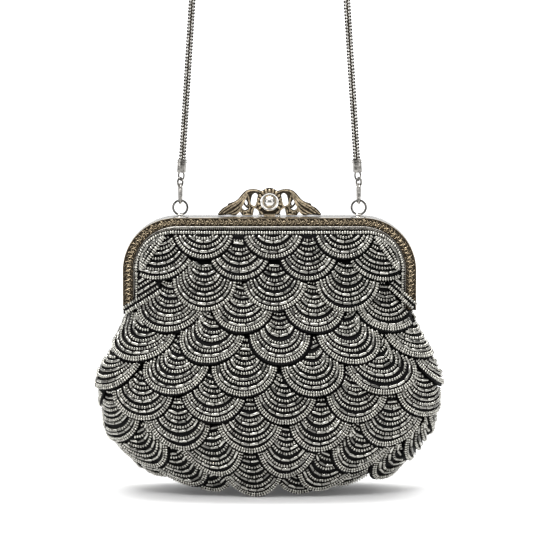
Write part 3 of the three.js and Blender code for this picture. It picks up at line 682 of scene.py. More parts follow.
def string_bow(half_width, radius, rise):
    """A string's bow across and down from its middle: a straight end, a round part and a straight end."""
    turn = np.radians(np.linspace(-STRING_TURN, STRING_TURN, ROUND_POINTS))
    straight = np.linspace(rise, 0, RISE_POINTS, endpoint=False)
    sides = np.ones(RISE_POINTS)
    across = half_width * np.concatenate([-sides, np.sin(turn), sides])
    return across, np.concatenate([-straight, radius * np.cos(turn), -straight[::-1]])


def in_sight(row, above, along, z):
    """Where a row's string is on its cloth and the row above leaves it in sight."""
    top = row.top_at(along)
    seen = z < top - (FIRST_HEADROOM if row.number == 1 else HEADROOM)
    seen &= np.abs(along) < row.reach - END_ROOM if row.side else top > row.tip + LEAST_DROP
    return seen & ~hidden_under(row, above, along, z) if above else seen


def scallop_strings(work, row, above, centre, tip):
    """The nested strings of one scallop, as far as they are in sight."""
    widen, tilt = rng.normal(SCALLOP_WIDTH, WIDTH_SPREAD), rng.normal(0, TILT_SPREAD)
    beside_arm = row.number in ROWS_BESIDE_ARM and abs(row.place([centre], [tip])[0][0, 0]) > BESIDE_ARM_X
    if (row.number, row.side) == (2, -1) and abs(centre) > END_SCALLOP_X:
        widen, tilt = END_SCALLOP_WIDTH, -END_SCALLOP_TILT * np.sign(centre)
    for low, kind in STRINGS:
        radius = max(LOBE_RADIUS - STRING_INSET - STRING_SHRINK * low, LEAST_RADIUS)
        rise = STRING_RISE if low < LONG_BELOW or beside_arm else SHORT_RISE
        across, down = string_bow(widen * radius, radius, rise)
        along = centre + math.cos(tilt) * across + math.sin(tilt) * down
        z = tip + low + radius + math.sin(tilt) * across - math.cos(tilt) * down
        z += rng.normal(0, HEIGHT_SPREAD)
        seen = np.flatnonzero(in_sight(row, above, along, z))
        edging = "cord" if kind == "rope" and row.side else kind
        for run in np.split(seen, np.flatnonzero(np.diff(seen) > 1) + 1):
            if len(run) > 2:
                work.thread(*row.place(along[run], z[run], FLAP_THICKNESS), edging)


def fan_strings(work, row, strings):
    """Strings that bow out side by side from the ropes that end the row at the frame."""
    part = np.linspace(0, 1, FAN_POINTS)[:, None]
    for inner, outer in row.flaps:
        start, stop = np.array(inner, float), np.array(outer, float)
        bow = np.array([stop[1] - start[1], start[0] - stop[0]]) * np.sign(start[0])
        bow /= np.linalg.norm(bow)
        for bulge, kind in strings:
            line = start + (stop - start) * part
            if row.number == 1:
                line = line - 4 * bulge * bow * part * (1 - part)
            else:
                line = line - bulge * bow
                line = line[(np.abs(line[:, 0]) < ARM_OVERLAP_X) | (bulge < ARM_BOW)]
            work.thread(*row.place(line[:, 0], line[:, 1], FLAP_THICKNESS), kind)


def bead_row(row, above):
    """All the beads of a row, as far as the row above leaves them in sight."""
    work = BeadWork()
    if row.flaps:
        fan_strings(work, row, CORNER_STRINGS if row.number == 1 else ARM_STRINGS)
    for centre, tip in zip(row.centres, row.tips):
        scallop_strings(work, row, above, centre, tip)
    name = f"{row.name}_beads"
    piece = finish_piece(name, work.mesh(name), [SEED_SILVER, BUGLE_SILVER])


pouch_shell()
for strip_rows in (FRONT_ROWS, BACK_ROWS):
    for strip, over in zip(strip_rows, [None, *strip_rows]):
        flap_strip(strip)
        bead_row(strip, over)
for tier, over in zip(RING_ROWS, [FRONT_ROWS[2], *RING_ROWS]):
    flap_strip(tier)
    bead_row(tier, over)


# Metal helpers


def smoothed(points, steps=5, closed=False):
    """A soft curve through the points."""
    points = np.asarray(points, float)
    before_first, after_last = points[-1:], points[:2]
    if not closed:
        before_first, after_last = 2 * points[:1] - points[1:2], 2 * points[-1:] - points[-2:-1]
    padded = np.concatenate([before_first, points, after_last])
    part = np.linspace(0, 1, steps, endpoint=False)[:, None]
    runs = []
    for before, start, stop, after in zip(padded, padded[1:], padded[2:], padded[3:]):
        bend = (stop - before) * part + (2 * before - 5 * start + 4 * stop - after) * part**2
        runs.append(start + 0.5 * (bend + (3 * start - before - 3 * stop + after) * part**3))
    return np.concatenate(runs if closed else [*runs, points[-1:]])


def mesh_of_curve(curve):
    """The mesh that a curve makes; the curve itself isn't kept."""
    holder = bpy.data.objects.new(curve.name, curve)
    bpy.context.scene.collection.objects.link(holder)
    mesh = bpy.data.meshes.new_from_object(holder.evaluated_get(bpy.context.evaluated_depsgraph_get()))
    bpy.data.objects.remove(holder)
    bpy.data.curves.remove(curve)
    return mesh


def add_spline(curve, points, swell=1.0, closed=False):
    spline = curve.splines.new("POLY")
    spline.points.add(len(points) - 1)
    spline.points.foreach_set("co", np.column_stack([points, np.ones(len(points))]).ravel())
    spline.points.foreach_set("radius", np.broadcast_to(np.asarray(swell, float), len(points)).copy())
    spline.use_cyclic_u = closed


def wires(strands, thickness, rounding=1):
    """Round wires: each strand has its points, its swell along them and whether it is a ring."""
    curve = bpy.data.curves.new("wire", "CURVE")
    curve.dimensions = "3D"
    curve.bevel_depth, curve.bevel_resolution, curve.use_fill_caps = thickness, rounding, True
    for strand in strands:
        add_spline(curve, *strand)
    return mesh_of_curve(curve)


def ring_points(radii, count, axes=((1, 0, 0), (0, 0, 1)), centre=(0, 0, 0)):
    turn = np.linspace(0, 2 * math.pi, count, endpoint=False)[:, None]
    across, up = np.array(axes, float)
    return np.array(centre) + radii[0] * np.cos(turn) * across + radii[1] * np.sin(turn) * up


def solid(kind, matrix, bevel=0.0, **sizes):
    """A box, cone or ball in millimetres, placed by the matrix, with its edges eased."""
    shape = bmesh.new()
    getattr(bmesh.ops, f"create_{kind}")(shape, **sizes)
    bmesh.ops.transform(shape, matrix=matrix, verts=shape.verts)
    if bevel:
        sharp = [edge for edge in shape.edges if edge.calc_face_angle(0) > 0.6]
        bmesh.ops.bevel(shape, geom=sharp, offset=bevel, affect="EDGES", segments=2, profile=0.5, material=-1)
    return mesh_from(shape, kind)


def box(near, far, bevel):
    """A box between two corners."""
    near, far = Vector(near), Vector(far)
    place = Matrix.Translation((near + far) / 2) @ Matrix.Diagonal((*(far - near), 1))
    return solid("cube", place, bevel, size=1)


def rod(start, end, radius, bevel, segments=24):
    """A round bar between two points."""
    start, end = Vector(start), Vector(end)
    turn = (end - start).to_track_quat("Z", "Y").to_matrix().to_4x4()
    sizes = dict(cap_ends=True, segments=segments, radius1=radius, radius2=radius, depth=(end - start).length)
    return solid("cone", Matrix.Translation((start + end) / 2) @ turn, bevel, **sizes)


def combined(name, parts, materials, body=BODY, sharp=40):
    """Several meshes in millimetres as one piece; each has its material slot, or None to keep its own."""
    shape = bmesh.new()
    for mesh, slot in parts:
        before = len(shape.faces)
        shape.from_mesh(mesh)
        shape.faces.ensure_lookup_table()
        for face in shape.faces[before:]:
            face.material_index = face.material_index if slot is None else slot
        bpy.data.meshes.remove(mesh)
    for vert in shape.verts:
        vert.co = Vector(on_bag(vert.co))
    piece = finish_piece(name, mesh_from(shape, name), materials, body)
    piece.data.set_sharp_from_angle(angle=math.radians(sharp))
    return piece


# Frame

# Steps of the dense outline along an arm, round a corner and along half the top.
ARM_STEPS, CORNER_STEPS, TOP_STEPS = 60, 90, 100


def frame_outline():
    """Dense places on the frame's outer edge, from the left arm over the top to the right, and the way in."""
    turn = np.linspace(math.pi, math.pi / 2, CORNER_STEPS + 1)
    arm = np.linspace(FRAME_ARM_END, CORNER_Z, ARM_STEPS + 1)[:-1]
    top = np.linspace(-CORNER_X, 0, TOP_STEPS + 1)[1:]
    x = np.concatenate([np.full(ARM_STEPS, -FRAME_HALF_WIDTH), -CORNER_X + FRAME_CORNER * np.cos(turn), top])
    z = np.concatenate([arm, CORNER_Z + FRAME_CORNER * np.sin(turn), np.full(TOP_STEPS, FRAME_TOP)])
    in_x = np.concatenate([np.ones(ARM_STEPS), -np.cos(turn), np.zeros(TOP_STEPS)])
    in_z = np.concatenate([np.zeros(ARM_STEPS), -np.sin(turn), -np.ones(TOP_STEPS)])
    half = np.stack([x, z, in_x, in_z], axis=-1)
    return np.concatenate([half, (half * (-1, 1, -1, 1))[-2::-1]])


OUTLINE = frame_outline()
MID_BAND = 2.75
MID_LINE = OUTLINE[:, :2] + MID_BAND * OUTLINE[:, 2:]
MID_LENGTH = np.concatenate(([0], np.cumsum(np.linalg.norm(np.diff(MID_LINE, axis=0), axis=1))))
# Lengths along the band where an arm, a corner or the top begins or ends.
BENDS = MID_LENGTH[np.cumsum((0, ARM_STEPS, CORNER_STEPS, 2 * TOP_STEPS, CORNER_STEPS, ARM_STEPS))]
# How far each of these places has the arms' band, and not the top's.
ARM_SHARES = (1, 1, 0, 0, 1, 1)
# Insets of the band's lines over the top, and where they lie on the arms, whose band is wider.
TOP_LINES = (0, 0.5, 4.85, 5.7, 7, 20)
ARM_LINES = (0, 0.5, 6.05, 6.65, 7, 20)


def on_frame(length, inset, depth, side):
    """Points of the frame at a length along its band, an inset from its edge and a depth from its parting."""
    place = np.stack([np.interp(length, MID_LENGTH, OUTLINE[:, k]) for k in range(4)], axis=-1)
    inset = np.asarray(inset, float)
    wider = np.interp(inset, TOP_LINES, ARM_LINES) - inset
    inset = inset + np.interp(length, BENDS, ARM_SHARES) * wider
    flat = place[..., :2] + inset[..., None] * place[..., 2:]
    return np.stack([flat[..., 0], side * np.broadcast_to(depth, flat.shape[:-1]), flat[..., 1]], axis=-1)


BRIGHT, HOLLOW, RAISED, FLANGE, EDGE = range(5)
# Inset from the outer edge, depth from the parting, and the finish of the strip up to the next point.
FRAME_PROFILE = (
    (0, 0.15, BRIGHT),
    (0, 6.1, BRIGHT),
    (0.08, 6.32, RAISED),
    (0.3, 6.4, RAISED),
    (0.5, 5.95, HOLLOW),
    (4.85, 5.95, HOLLOW),
    (4.95, 6.45, EDGE),
    (5.1, 6.75, EDGE),
    (5.3, 6.85, EDGE),
    (5.5, 6.75, EDGE),
    (5.7, 6.35, FLANGE),
    (7, 6.2, BRIGHT),
    (7, 5.2, BRIGHT),
    (1.2, 5.2, BRIGHT),
    (1.2, 0.15, BRIGHT),
)
# Plain length of the band at each arm's end.
BAND_END = 1
SCROLL_STEP, SCROLL_RADIUS, SCROLL_WIRE, SCROLL_POINTS = 2.75, 1.08, 0.24, 16
# First and last turn of a scroll, share of its radius and swell of its wire, and its shift off the middle.
SCROLL_TURNS, SCROLL_SPREAD, SCROLL_SWELL = (-0.35 * math.pi, 1.45 * math.pi), (1.35, 0.6), (0.8, 1.15)
SCROLL_SHIFT = 0.35
SCROLL_EYE_LENGTH, SCROLL_EYE_SWELL = 0.3, 1.5
# A sprig beside a scroll: its places along the band and across it, and the swell of its wire.
SPRIG_ALONG, SPRIG_ACROSS, SPRIG_SWELL = (0.9, 1.6, 2.2), (1.9, 1.3, 1.75), (0.7, 1.3, 0.6)
SCROLL_DEPTH, SCROLL_EYE_DEPTH, SPRIG_DEPTH = 6.15, 6.2, 6.12
FLANGE_RIB_STEP, FLANGE_RIB_INSETS, FLANGE_RIB_DEPTH, FLANGE_RIB_WIRE = 1.15, (6, 6.95), 6.5, 0.3


def frame_sweep(side):
    """The frame's channel, swept along the outline."""
    straight, corner = np.linspace(0, 1, 5), np.linspace(0, 1, 25)
    parts = zip(BENDS, BENDS[1:], (straight, corner, straight, corner, straight))
    runs = [start + (stop - start) * steps for start, stop, steps in parts]
    stations = np.unique(np.concatenate(runs).round(6))
    count, sides = len(stations), len(FRAME_PROFILE)
    shape = bmesh.new()
    bmesh.ops.create_grid(shape, x_segments=count - 1, y_segments=sides, size=0.5)
    for face in shape.faces:
        face.material_index = FRAME_PROFILE[int((face.calc_center_median().y + 0.5) * sides)][2]
    for vert in shape.verts:
        station = stations[round((vert.co.x + 0.5) * (count - 1))]
        inset, depth, _ = FRAME_PROFILE[round((vert.co.y + 0.5) * sides) % sides]
        vert.co = Vector(on_frame(station, inset, depth, side))
    bmesh.ops.remove_doubles(shape, verts=shape.verts, dist=1e-4)
    bmesh.ops.holes_fill(shape, edges=[edge for edge in shape.edges if edge.is_boundary])
    bmesh.ops.recalc_face_normals(shape, faces=shape.faces)
    return mesh_from(shape, "frame")


def scroll_relief(side):
    """Open scrolls along the band, up and down by turns, with a bead in each eye and a sprig beside it."""
    chased = MID_LENGTH[-1] - 2 * BAND_END
    count = int(chased / SCROLL_STEP)
    turn = np.linspace(*SCROLL_TURNS, SCROLL_POINTS)
    spread = np.linspace(*SCROLL_SPREAD, SCROLL_POINTS)
    swell = np.linspace(*SCROLL_SWELL, SCROLL_POINTS)
    strands = []
    for k in range(count):
        middle = BAND_END + (k + 0.5) * chased / count
        flip = 1 if k % 2 else -1
        along = middle + SCROLL_RADIUS * spread * np.cos(turn)
        inset = MID_BAND + flip * (SCROLL_RADIUS * spread * np.sin(turn) - SCROLL_SHIFT)
        strands.append((on_frame(along, inset, SCROLL_DEPTH, side), swell, False))
        eye = np.array([middle, middle + SCROLL_EYE_LENGTH])
        eye_inset = np.full(2, MID_BAND - SCROLL_SHIFT * flip)
        strands.append((on_frame(eye, eye_inset, SCROLL_EYE_DEPTH, side), SCROLL_EYE_SWELL, False))
        sprig, sprig_inset = middle + np.array(SPRIG_ALONG), MID_BAND + flip * np.array(SPRIG_ACROSS)
        strands.append((on_frame(sprig, sprig_inset, SPRIG_DEPTH, side), np.array(SPRIG_SWELL), False))
    return wires(strands, SCROLL_WIRE)


def flange_ribs(side):
    """The fine ribs of the flange inside the bright rim."""
    strands = []
    for spot in np.arange(BAND_END, MID_LENGTH[-1] - BAND_END, FLANGE_RIB_STEP):
        rib = on_frame(np.full(2, spot), np.array(FLANGE_RIB_INSETS), FLANGE_RIB_DEPTH, side)
        strands.append((rib, 1.0, False))
    return wires(strands, FLANGE_RIB_WIRE, 0)


# Barrels for the strap's rings, and ears that hold the clasp's pivot pin.
LUG_X, LUG_Z, LUG_HALF, LUG_RADIUS, LUG_BEVEL = 51.7, 161.2, 1.5, 1.15, 0.2
PIVOT_Y, PIVOT_Z = 2.5, 162.1
EAR_X, EAR_HALF_WIDTH, EAR_HALF_DEPTH, EAR_BEVEL = 5.5, 0.95, 1.1, 0.35
EAR_FOOT, EAR_TOP = FRAME_TOP - 0.1, PIVOT_Z + 1


def frame_half(name, side):
    """One half of the frame; the back one has the barrels and the ears."""
    parts = [(frame_sweep(side), None), (scroll_relief(side), RAISED), (flange_ribs(side), EDGE)]
    if side > 0:
        for end in (-1, 1):
            lug_ends = [(end * LUG_X + shift, STRAP_Y, LUG_Z) for shift in (-LUG_HALF, LUG_HALF)]
            parts.append((rod(*lug_ends, LUG_RADIUS, LUG_BEVEL), BRIGHT))
            ear_foot = (end * EAR_X - EAR_HALF_WIDTH, PIVOT_Y - EAR_HALF_DEPTH, EAR_FOOT)
            ear_top = (end * EAR_X + EAR_HALF_WIDTH, PIVOT_Y + EAR_HALF_DEPTH, EAR_TOP)
            parts.append((box(ear_foot, ear_top, EAR_BEVEL), BRIGHT))
    piece = combined(f"{name}_chased", parts, [POLISHED, RECESS_AND_PAINTED_SHADE, RELIEF, FITTING, RIM], sharp=50)
    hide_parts(name)


frame_half("frame_front", -1)
frame_half("frame_back", 1)


# Clasp

BEZEL_Z = 168.4
PLATE_Y = 1.6
# Outline and holes of the leafwork, and its ribs with their half width, for the +X side: x and height.
LEAF_EDGE = (
    (0, 176.2), (2, 175.8), (3.9, 174.6), (5.1, 174.5), (7.5, 175.3), (10.2, 175.5), (13.3, 174.7),
    (15.8, 172.5), (18.2, 169.6), (20.8, 168), (23.6, 167.1), (24.2, 165.9), (26.9, 164.4), (29.5, 161.4),
    (28.8, 160.7), (25.4, 161), (22.5, 161), (21.1, 160.6), (19.6, 160.8), (18.8, 161.6), (18.2, 162.6),
    (17.2, 162.9), (16.4, 161.9), (15.5, 160.8), (12.4, 160.6), (10.1, 160.7), (9.6, 162), (9.2, 164.1),
    (8.3, 164.8), (6.1, 163.1), (4.4, 161),
)
LEAF_HOLES = (
    ((6.7, 172.7), (8.3, 173.7), (10.1, 172.5), (10.9, 169.6), (11, 166.9), (8.5, 165.6), (7.3, 168.1),
     (6.8, 170.5)),
    ((12.8, 166.1), (12.5, 168.1), (13.8, 170), (14.8, 168.6), (13.9, 166.5)),
    ((10.8, 164.9), (12.9, 164.9), (15, 167.1), (16.2, 167.2), (16.1, 164.7), (14.5, 163.3), (12.4, 164)),
)
LEAF_RIBS = (
    (0.75, ((5.1, 174), (7.5, 174.9), (10, 175), (12.9, 174.2), (15.3, 172), (17.7, 169.3), (20.6, 167.4),
            (23.5, 165.9), (26.4, 163.8), (29.2, 161.4))),
    (0.7, ((12.9, 173.5), (15.3, 170.5), (18.2, 167.6), (22, 165.2), (26.9, 161.8))),
    (0.7, ((12.9, 172.5), (14.8, 169.6), (17.2, 166.2), (20.6, 163.4), (24.9, 161.2))),
    (0.7, ((13.3, 171.5), (15, 168.1), (16.7, 164.9), (18.9, 162.4), (22, 161.1))),
    (0.6, ((13.8, 170.1), (15.8, 166.6), (17, 163.7), (18.2, 161.9), (19.1, 160.9))),
    (0.8, ((12.9, 173), (12, 170.5), (11.6, 168.1), (10.7, 166.4), (8.7, 165.2))),
    (0.55, ((16.3, 166.6), (16.1, 164.4), (14.5, 162.8), (12.4, 163.3), (11.3, 164.9), (12, 166.2),
            (13.1, 165.8))),
    (0.7, ((8.7, 165.2), (10.2, 163.2), (9.9, 160.9))),
    (0.45, ((9.9, 160.9), (12.4, 161.1), (15.2, 160.9))),
    (0.8, ((6.3, 170.8), (6.8, 168.6), (7.8, 166.2), (9, 164.9))),
    (0.75, ((8.5, 165.4), (5.8, 163.2), (3.7, 161.2))),
)
# Share of a rib's half width that its wire has, and how far it stands in front of the plate's middle.
RIB_SHARE, RIB_LIFT = 0.72, 0.75
# Swell of a rib at its ends, what its middle has beyond that, and how blunt it is.
RIB_END, RIB_MIDDLE, RIB_BLUNTNESS = 0.35, 0.65, 0.6
PLATE_HALF, PLATE_ROUNDING = 0.45, 0.3
CURL_BUMPS = ((11.9, 163), (13.3, 162.1), (15, 162.1), (16.3, 162.8))
BUMP_RADIUS, BUMP_LIFT = 0.62, 0.9
# Petals round the bezel: degrees from +X, distance from its middle, half sizes out, deep and round, and lift.
PETAL_TURNS = (-32, -10, 12, 33, 53, 72, 90, 108, 127, 147, 168, 190, 212)
PETAL_DISTANCE, PETAL_SIZE, PETAL_LIFT = 6.35, (1.3, 0.9, 0.92), 0.9
BEZEL_RADIUS, BEZEL_LIFT, BEZEL_BACK, BEZEL_BEVEL = 5.3, 1.6, 0.7, 0.3
# Radius and wire of the bezel's two rings.
OUTER_RING, INNER_RING = (4.95, 0.42), (3.65, 0.3)
DOME_SIZE, DOME_LIFT = (3.4, 2.7, 3.4), 1.7
PIN_HALF, PIN_RADIUS, PIN_BEVEL = 4.3, 1.05, 0.15
# The foot that joins the leafwork to its pin, and the tongue that reaches over the front half.
FOOT_HALF_WIDTH, FOOT_HALF_DEPTH, FOOT_BOTTOM, FOOT_TOP, FOOT_BEVEL = 3.4, 0.7, 160.6, 164.5, 0.3
TONGUE_FRONT, TONGUE_BOTTOM, TONGUE_TOP, TONGUE_BEVEL = -5.6, 160.5, 161.7, 0.4


def upright(mesh, y):
    """A flat drawing stood up facing -Y, with its middle at the depth."""
    mesh.transform(Matrix.Translation((0, y, 0)) @ Matrix.Rotation(math.pi / 2, 4, "X"))
    return mesh


WORN, SHINY, DARK = range(3)


def leaf_plate():
    """The pierced plate under the ribs: one outline with its holes, rounded at the edges, worn behind."""
    curve = bpy.data.curves.new("leaf_plate", "CURVE")
    curve.dimensions, curve.fill_mode = "2D", "BOTH"
    curve.extrude, curve.bevel_depth, curve.bevel_resolution = PLATE_HALF, PLATE_ROUNDING, 1
    right = np.array(LEAF_EDGE)
    loops = [np.concatenate([right, (right * (-1, 1))[:0:-1]])]
    loops += [np.array(hole) * (sign, 1) for hole in LEAF_HOLES for sign in (-1, 1)]
    for loop in loops:
        points = smoothed(loop, 4, closed=True)
        add_spline(curve, np.column_stack([points, np.zeros(len(points))]), closed=True)
    plate = upright(mesh_of_curve(curve), PLATE_Y)
    for face in plate.polygons:
        face.material_index = WORN if face.normal.y > 0.5 else DARK
    return plate


def leaf_ribs():
    """Raised ribs that swell in the middle and taper to their ends."""
    strands = []
    for half_width, places in LEAF_RIBS:
        points = smoothed(places, 6)
        part = np.linspace(0, 1, len(points))
        swell = RIB_SHARE * half_width * (RIB_END + RIB_MIDDLE * np.sin(math.pi * part) ** RIB_BLUNTNESS)
        for sign in (-1, 1):
            depth = np.full(len(points), PLATE_Y - RIB_LIFT)
            strands.append((np.column_stack([sign * points[:, 0], depth, points[:, 1]]), swell, False))
    return wires(strands, 1.0, 2)


def leaf_curls():
    """Small balls on the curls of the leaves."""
    for x, z in CURL_BUMPS:
        for sign in (-1, 1):
            place = Matrix.Translation((sign * x, PLATE_Y - BUMP_LIFT, z))
            yield solid("icosphere", place, subdivisions=2, radius=BUMP_RADIUS)


def petals():
    """The petals that stand round the bezel."""
    for turn in np.radians(PETAL_TURNS):
        x, z = PETAL_DISTANCE * math.cos(turn), BEZEL_Z + PETAL_DISTANCE * math.sin(turn)
        place = Matrix.Translation((x, PLATE_Y - PETAL_LIFT, z))
        place = place @ Matrix.Rotation(-turn, 4, "Y") @ Matrix.Diagonal((*PETAL_SIZE, 1))
        yield solid("icosphere", place, subdivisions=2, radius=1)


def bezel():
    """The dome's cup with a bright ring round it and a worn one in it."""
    centre = (0, PLATE_Y - BEZEL_LIFT, BEZEL_Z)
    yield rod((0, PLATE_Y + BEZEL_BACK, BEZEL_Z), centre, BEZEL_RADIUS, BEZEL_BEVEL, 48), SHINY
    for (radius, wire), points, rounding, finish in ((OUTER_RING, 48, 2, SHINY), (INNER_RING, 40, 1, WORN)):
        ring = ring_points((radius, radius), points, centre=centre)
        yield wires([(ring, 1.0, True)], wire, rounding), finish


def catch():
    """What holds the clasp and locks it: its pivot pin, foot and tongue."""
    pin_ends = [(x, PIVOT_Y, PIVOT_Z) for x in (-PIN_HALF, PIN_HALF)]
    yield rod(*pin_ends, PIN_RADIUS, PIN_BEVEL)
    foot = (-FOOT_HALF_WIDTH, PLATE_Y - FOOT_HALF_DEPTH, FOOT_BOTTOM)
    yield box(foot, (FOOT_HALF_WIDTH, PLATE_Y + FOOT_HALF_DEPTH, FOOT_TOP), FOOT_BEVEL)
    tongue = (-FOOT_HALF_WIDTH, TONGUE_FRONT, TONGUE_BOTTOM)
    yield box(tongue, (FOOT_HALF_WIDTH, PLATE_Y, TONGUE_TOP), TONGUE_BEVEL)


def clasp_ornament():
    """The pierced leafwork with its bezel, pin and tongue, as one casting."""
    parts = [(leaf_plate(), None), (leaf_ribs(), WORN)]
    parts += [(mesh, WORN) for mesh in (*leaf_curls(), *petals())]
    parts += [*bezel(), *((mesh, WORN) for mesh in catch())]
    piece = combined("clasp_leafwork", parts, [LEAFWORK, POLISHED, RECESS_AND_PAINTED_SHADE], CLASP_BODY)
    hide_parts("clasp_ornament")


def clasp_dome():
    """The polished dome in the bezel."""
    place = Matrix.Translation((0, PLATE_Y - DOME_LIFT, BEZEL_Z)) @ Matrix.Diagonal((*DOME_SIZE, 1))
    place = place @ Matrix.Rotation(math.pi / 2, 4, "X")
    ball = solid("uvsphere", place, u_segments=40, v_segments=20, radius=1)
    piece = combined("clasp_dome", [(ball, 0)], [POLISHED], CLASP_BODY)
    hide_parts("clasp_cabochon")


clasp_ornament()
clasp_dome()


# Rings, lobster clasps, end caps and chain

RING_Z, RING_RADIUS, RING_WIRE = 164.8, 4.15, 0.66
# Middle lines of a lobster clasp's hook and lever: depth behind the strap's plane, and height.
HOOK_LINE = (
    (0.4, 178.6), (1.3, 176.6), (1.75, 173.4), (1.6, 170.4), (0.7, 168.1), (-0.7, 167.7), (-1.6, 168.7),
    (-1.85, 170.2),
)
LEVER_LINE = ((-0.2, 177.6), (-1.5, 176.2), (-2, 173.6), (-1.95, 170.9))
HOOK_WIRE, LEVER_WIRE = 1.12, 0.62
# Swell of the hook's wire at shares of its length.
HOOK_SHARES, HOOK_SWELL = (0, 0.2, 0.5, 0.8, 1), (0.8, 1.3, 1.1, 0.75, 0.6)
# The hook's eye and the cap's loop: height, half width and half height, turn about the vertical, and wire.
HOOK_EYE_Z, HOOK_EYE_RADII, HOOK_EYE_TURN, HOOK_EYE_WIRE = 179.5, (1.7, 2.6), 0.6, 0.6
CAP_LOOP_Z, CAP_LOOP_RADII, CAP_LOOP_TURN, CAP_LOOP_WIRE = 183.4, (1.9, 2.75), -0.6, 0.52
CAP_BOTTOM, CAP_TOP, CAP_WIDTH, CAP_TURN, CAP_BEVEL = 185.2, 193.0, 4.4, 0.28, 0.45
# Rims round the cap: how far under its top, how far off its sides, and wire.
CAP_RIM_DROPS, CAP_RIM_STAND, CAP_RIM_WIRE = (0.9, 2), 0.02, 0.2
# The strap's legs lean in from their feet to the arc that closes it.
LEAN = 0.065
LEG_TOP, LEG_TOP_X = 295.2, 43.8
LEG_FOOT = 187.4
ARC_Z, ARC_RADIUS = 292.5, 43.9
# Pitch of the links in a column, columns round the chain, and radii of their ring and of the dark core of
# painted shade.
CHAIN_PITCH, CHAIN_COLUMNS, COLUMN_RADIUS, SHADE_CORE_RADIUS = 1.9, 6, 1.72, 1.48
LINK_RADII, LINK_WIRE, LINK_SLANT = (0.52, 0.34), 0.29, math.radians(38)


def leg_x(z):
    """The right leg's distance from the middle at a height."""
    return LEG_TOP_X + LEAN * (LEG_TOP - z)


def turned(angle):
    """Across and up axes of an upright link turned about the vertical."""
    return (math.cos(angle), math.sin(angle), 0), (0, 0, 1)


def upright_line(line, x):
    """A soft line of depths and heights, stood up at the strap's plane."""
    points = smoothed(line)
    return np.column_stack([np.full(len(points), x), STRAP_Y + points[:, 0], points[:, 1]])


def strap_ring(x, name):
    """The ring that hangs the lobster clasp on the frame's barrel."""
    ring = ring_points((RING_RADIUS, RING_RADIUS), 48, centre=(x, STRAP_Y, RING_Z))
    piece = combined(f"ring_wire_{name}", [(wires([(ring, 1.0, True)], RING_WIRE, 2), 0)], [DARK_WIRE])
    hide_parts(f"strap_ring_{name}")


def lobster_hook(x, name):
    """The lobster clasp's hook with the eye that the cap's loop goes through."""
    line = upright_line(HOOK_LINE, x)
    swell = np.interp(np.linspace(0, 1, len(line)), HOOK_SHARES, HOOK_SWELL)
    eye = ring_points(HOOK_EYE_RADII, 24, turned(HOOK_EYE_TURN), (x, STRAP_Y, HOOK_EYE_Z))
    hook, eye = wires([(line, swell, False)], HOOK_WIRE, 2), wires([(eye, 1.0, True)], HOOK_EYE_WIRE, 2)
    piece = combined(f"lobster_hook_{name}", [(hook, 0), (eye, 0)], [FITTING])
    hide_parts(f"lobster_body_{name}")


def lobster_latch(x, name):
    """The lever that closes the hook's mouth, on its own body."""
    lever = wires([(upright_line(LEVER_LINE, x), 1.0, False)], LEVER_WIRE, 2)
    piece = combined(f"lobster_latch_{name}", [(lever, 0)], [FITTING], f"lever_{name}")
    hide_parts(f"lobster_lever_{name}")


def strap_cap(side, name):
    """The square cap on the chain's end, with two rims near its top and a loop under it."""
    foot = Vector((side * leg_x(CAP_BOTTOM), STRAP_Y, CAP_BOTTOM))
    head = Vector((side * leg_x(CAP_TOP), STRAP_Y, CAP_TOP))
    lean = (head - foot).to_track_quat("Z", "Y").to_matrix().to_4x4()
    turn = lean @ Matrix.Rotation(side * CAP_TURN, 4, "Z")
    sizes = Matrix.Diagonal((CAP_WIDTH, CAP_WIDTH, CAP_TOP - CAP_BOTTOM, 1))
    cap = solid("cube", Matrix.Translation((foot + head) / 2) @ turn @ sizes, CAP_BEVEL, size=1)
    loop_place = (side * leg_x(CAP_LOOP_Z), STRAP_Y, CAP_LOOP_Z)
    loop = ring_points(CAP_LOOP_RADII, 28, turned(CAP_LOOP_TURN), loop_place)
    parts = [(cap, 0), (wires([(loop, 1.0, True)], CAP_LOOP_WIRE, 2), 0)]
    half = CAP_WIDTH / 2 + CAP_RIM_STAND
    corners = [Vector((x, y, 0)) for x, y in ((-half, -half), (half, -half), (half, half), (-half, half))]
    for drop in CAP_RIM_DROPS:
        middle = head - (head - foot).normalized() * drop
        rim = np.array([middle + turn.to_3x3() @ corner for corner in corners])
        parts.append((wires([(rim, 1.0, True)], CAP_RIM_WIRE, 1), 0))
    piece = combined(f"strap_cap_{name}", parts, [FITTING])
    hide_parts(f"end_cap_{name}")


def strap_line():
    """Even steps along the strap from its left end cap over the top, with the way along them."""
    start = math.atan(LEAN)
    turn = np.linspace(math.pi - start, start, 200)
    arc = np.column_stack([ARC_RADIUS * np.cos(turn), ARC_Z + ARC_RADIUS * np.sin(turn)])
    foot = np.array([(-leg_x(LEG_FOOT), LEG_FOOT), (leg_x(LEG_FOOT), LEG_FOOT)])
    line = np.concatenate([foot[:1], arc, foot[1:]])
    length = np.concatenate(([0], np.cumsum(np.linalg.norm(np.diff(line, axis=0), axis=1))))
    steps = np.arange(CHAIN_PITCH, length[-1], CHAIN_PITCH)
    x, z = (np.interp(steps, length, line[:, k]) for k in range(2))
    points = np.column_stack([x, np.full(len(x), STRAP_Y), z])
    return points, unit(np.gradient(points, axis=0)), line


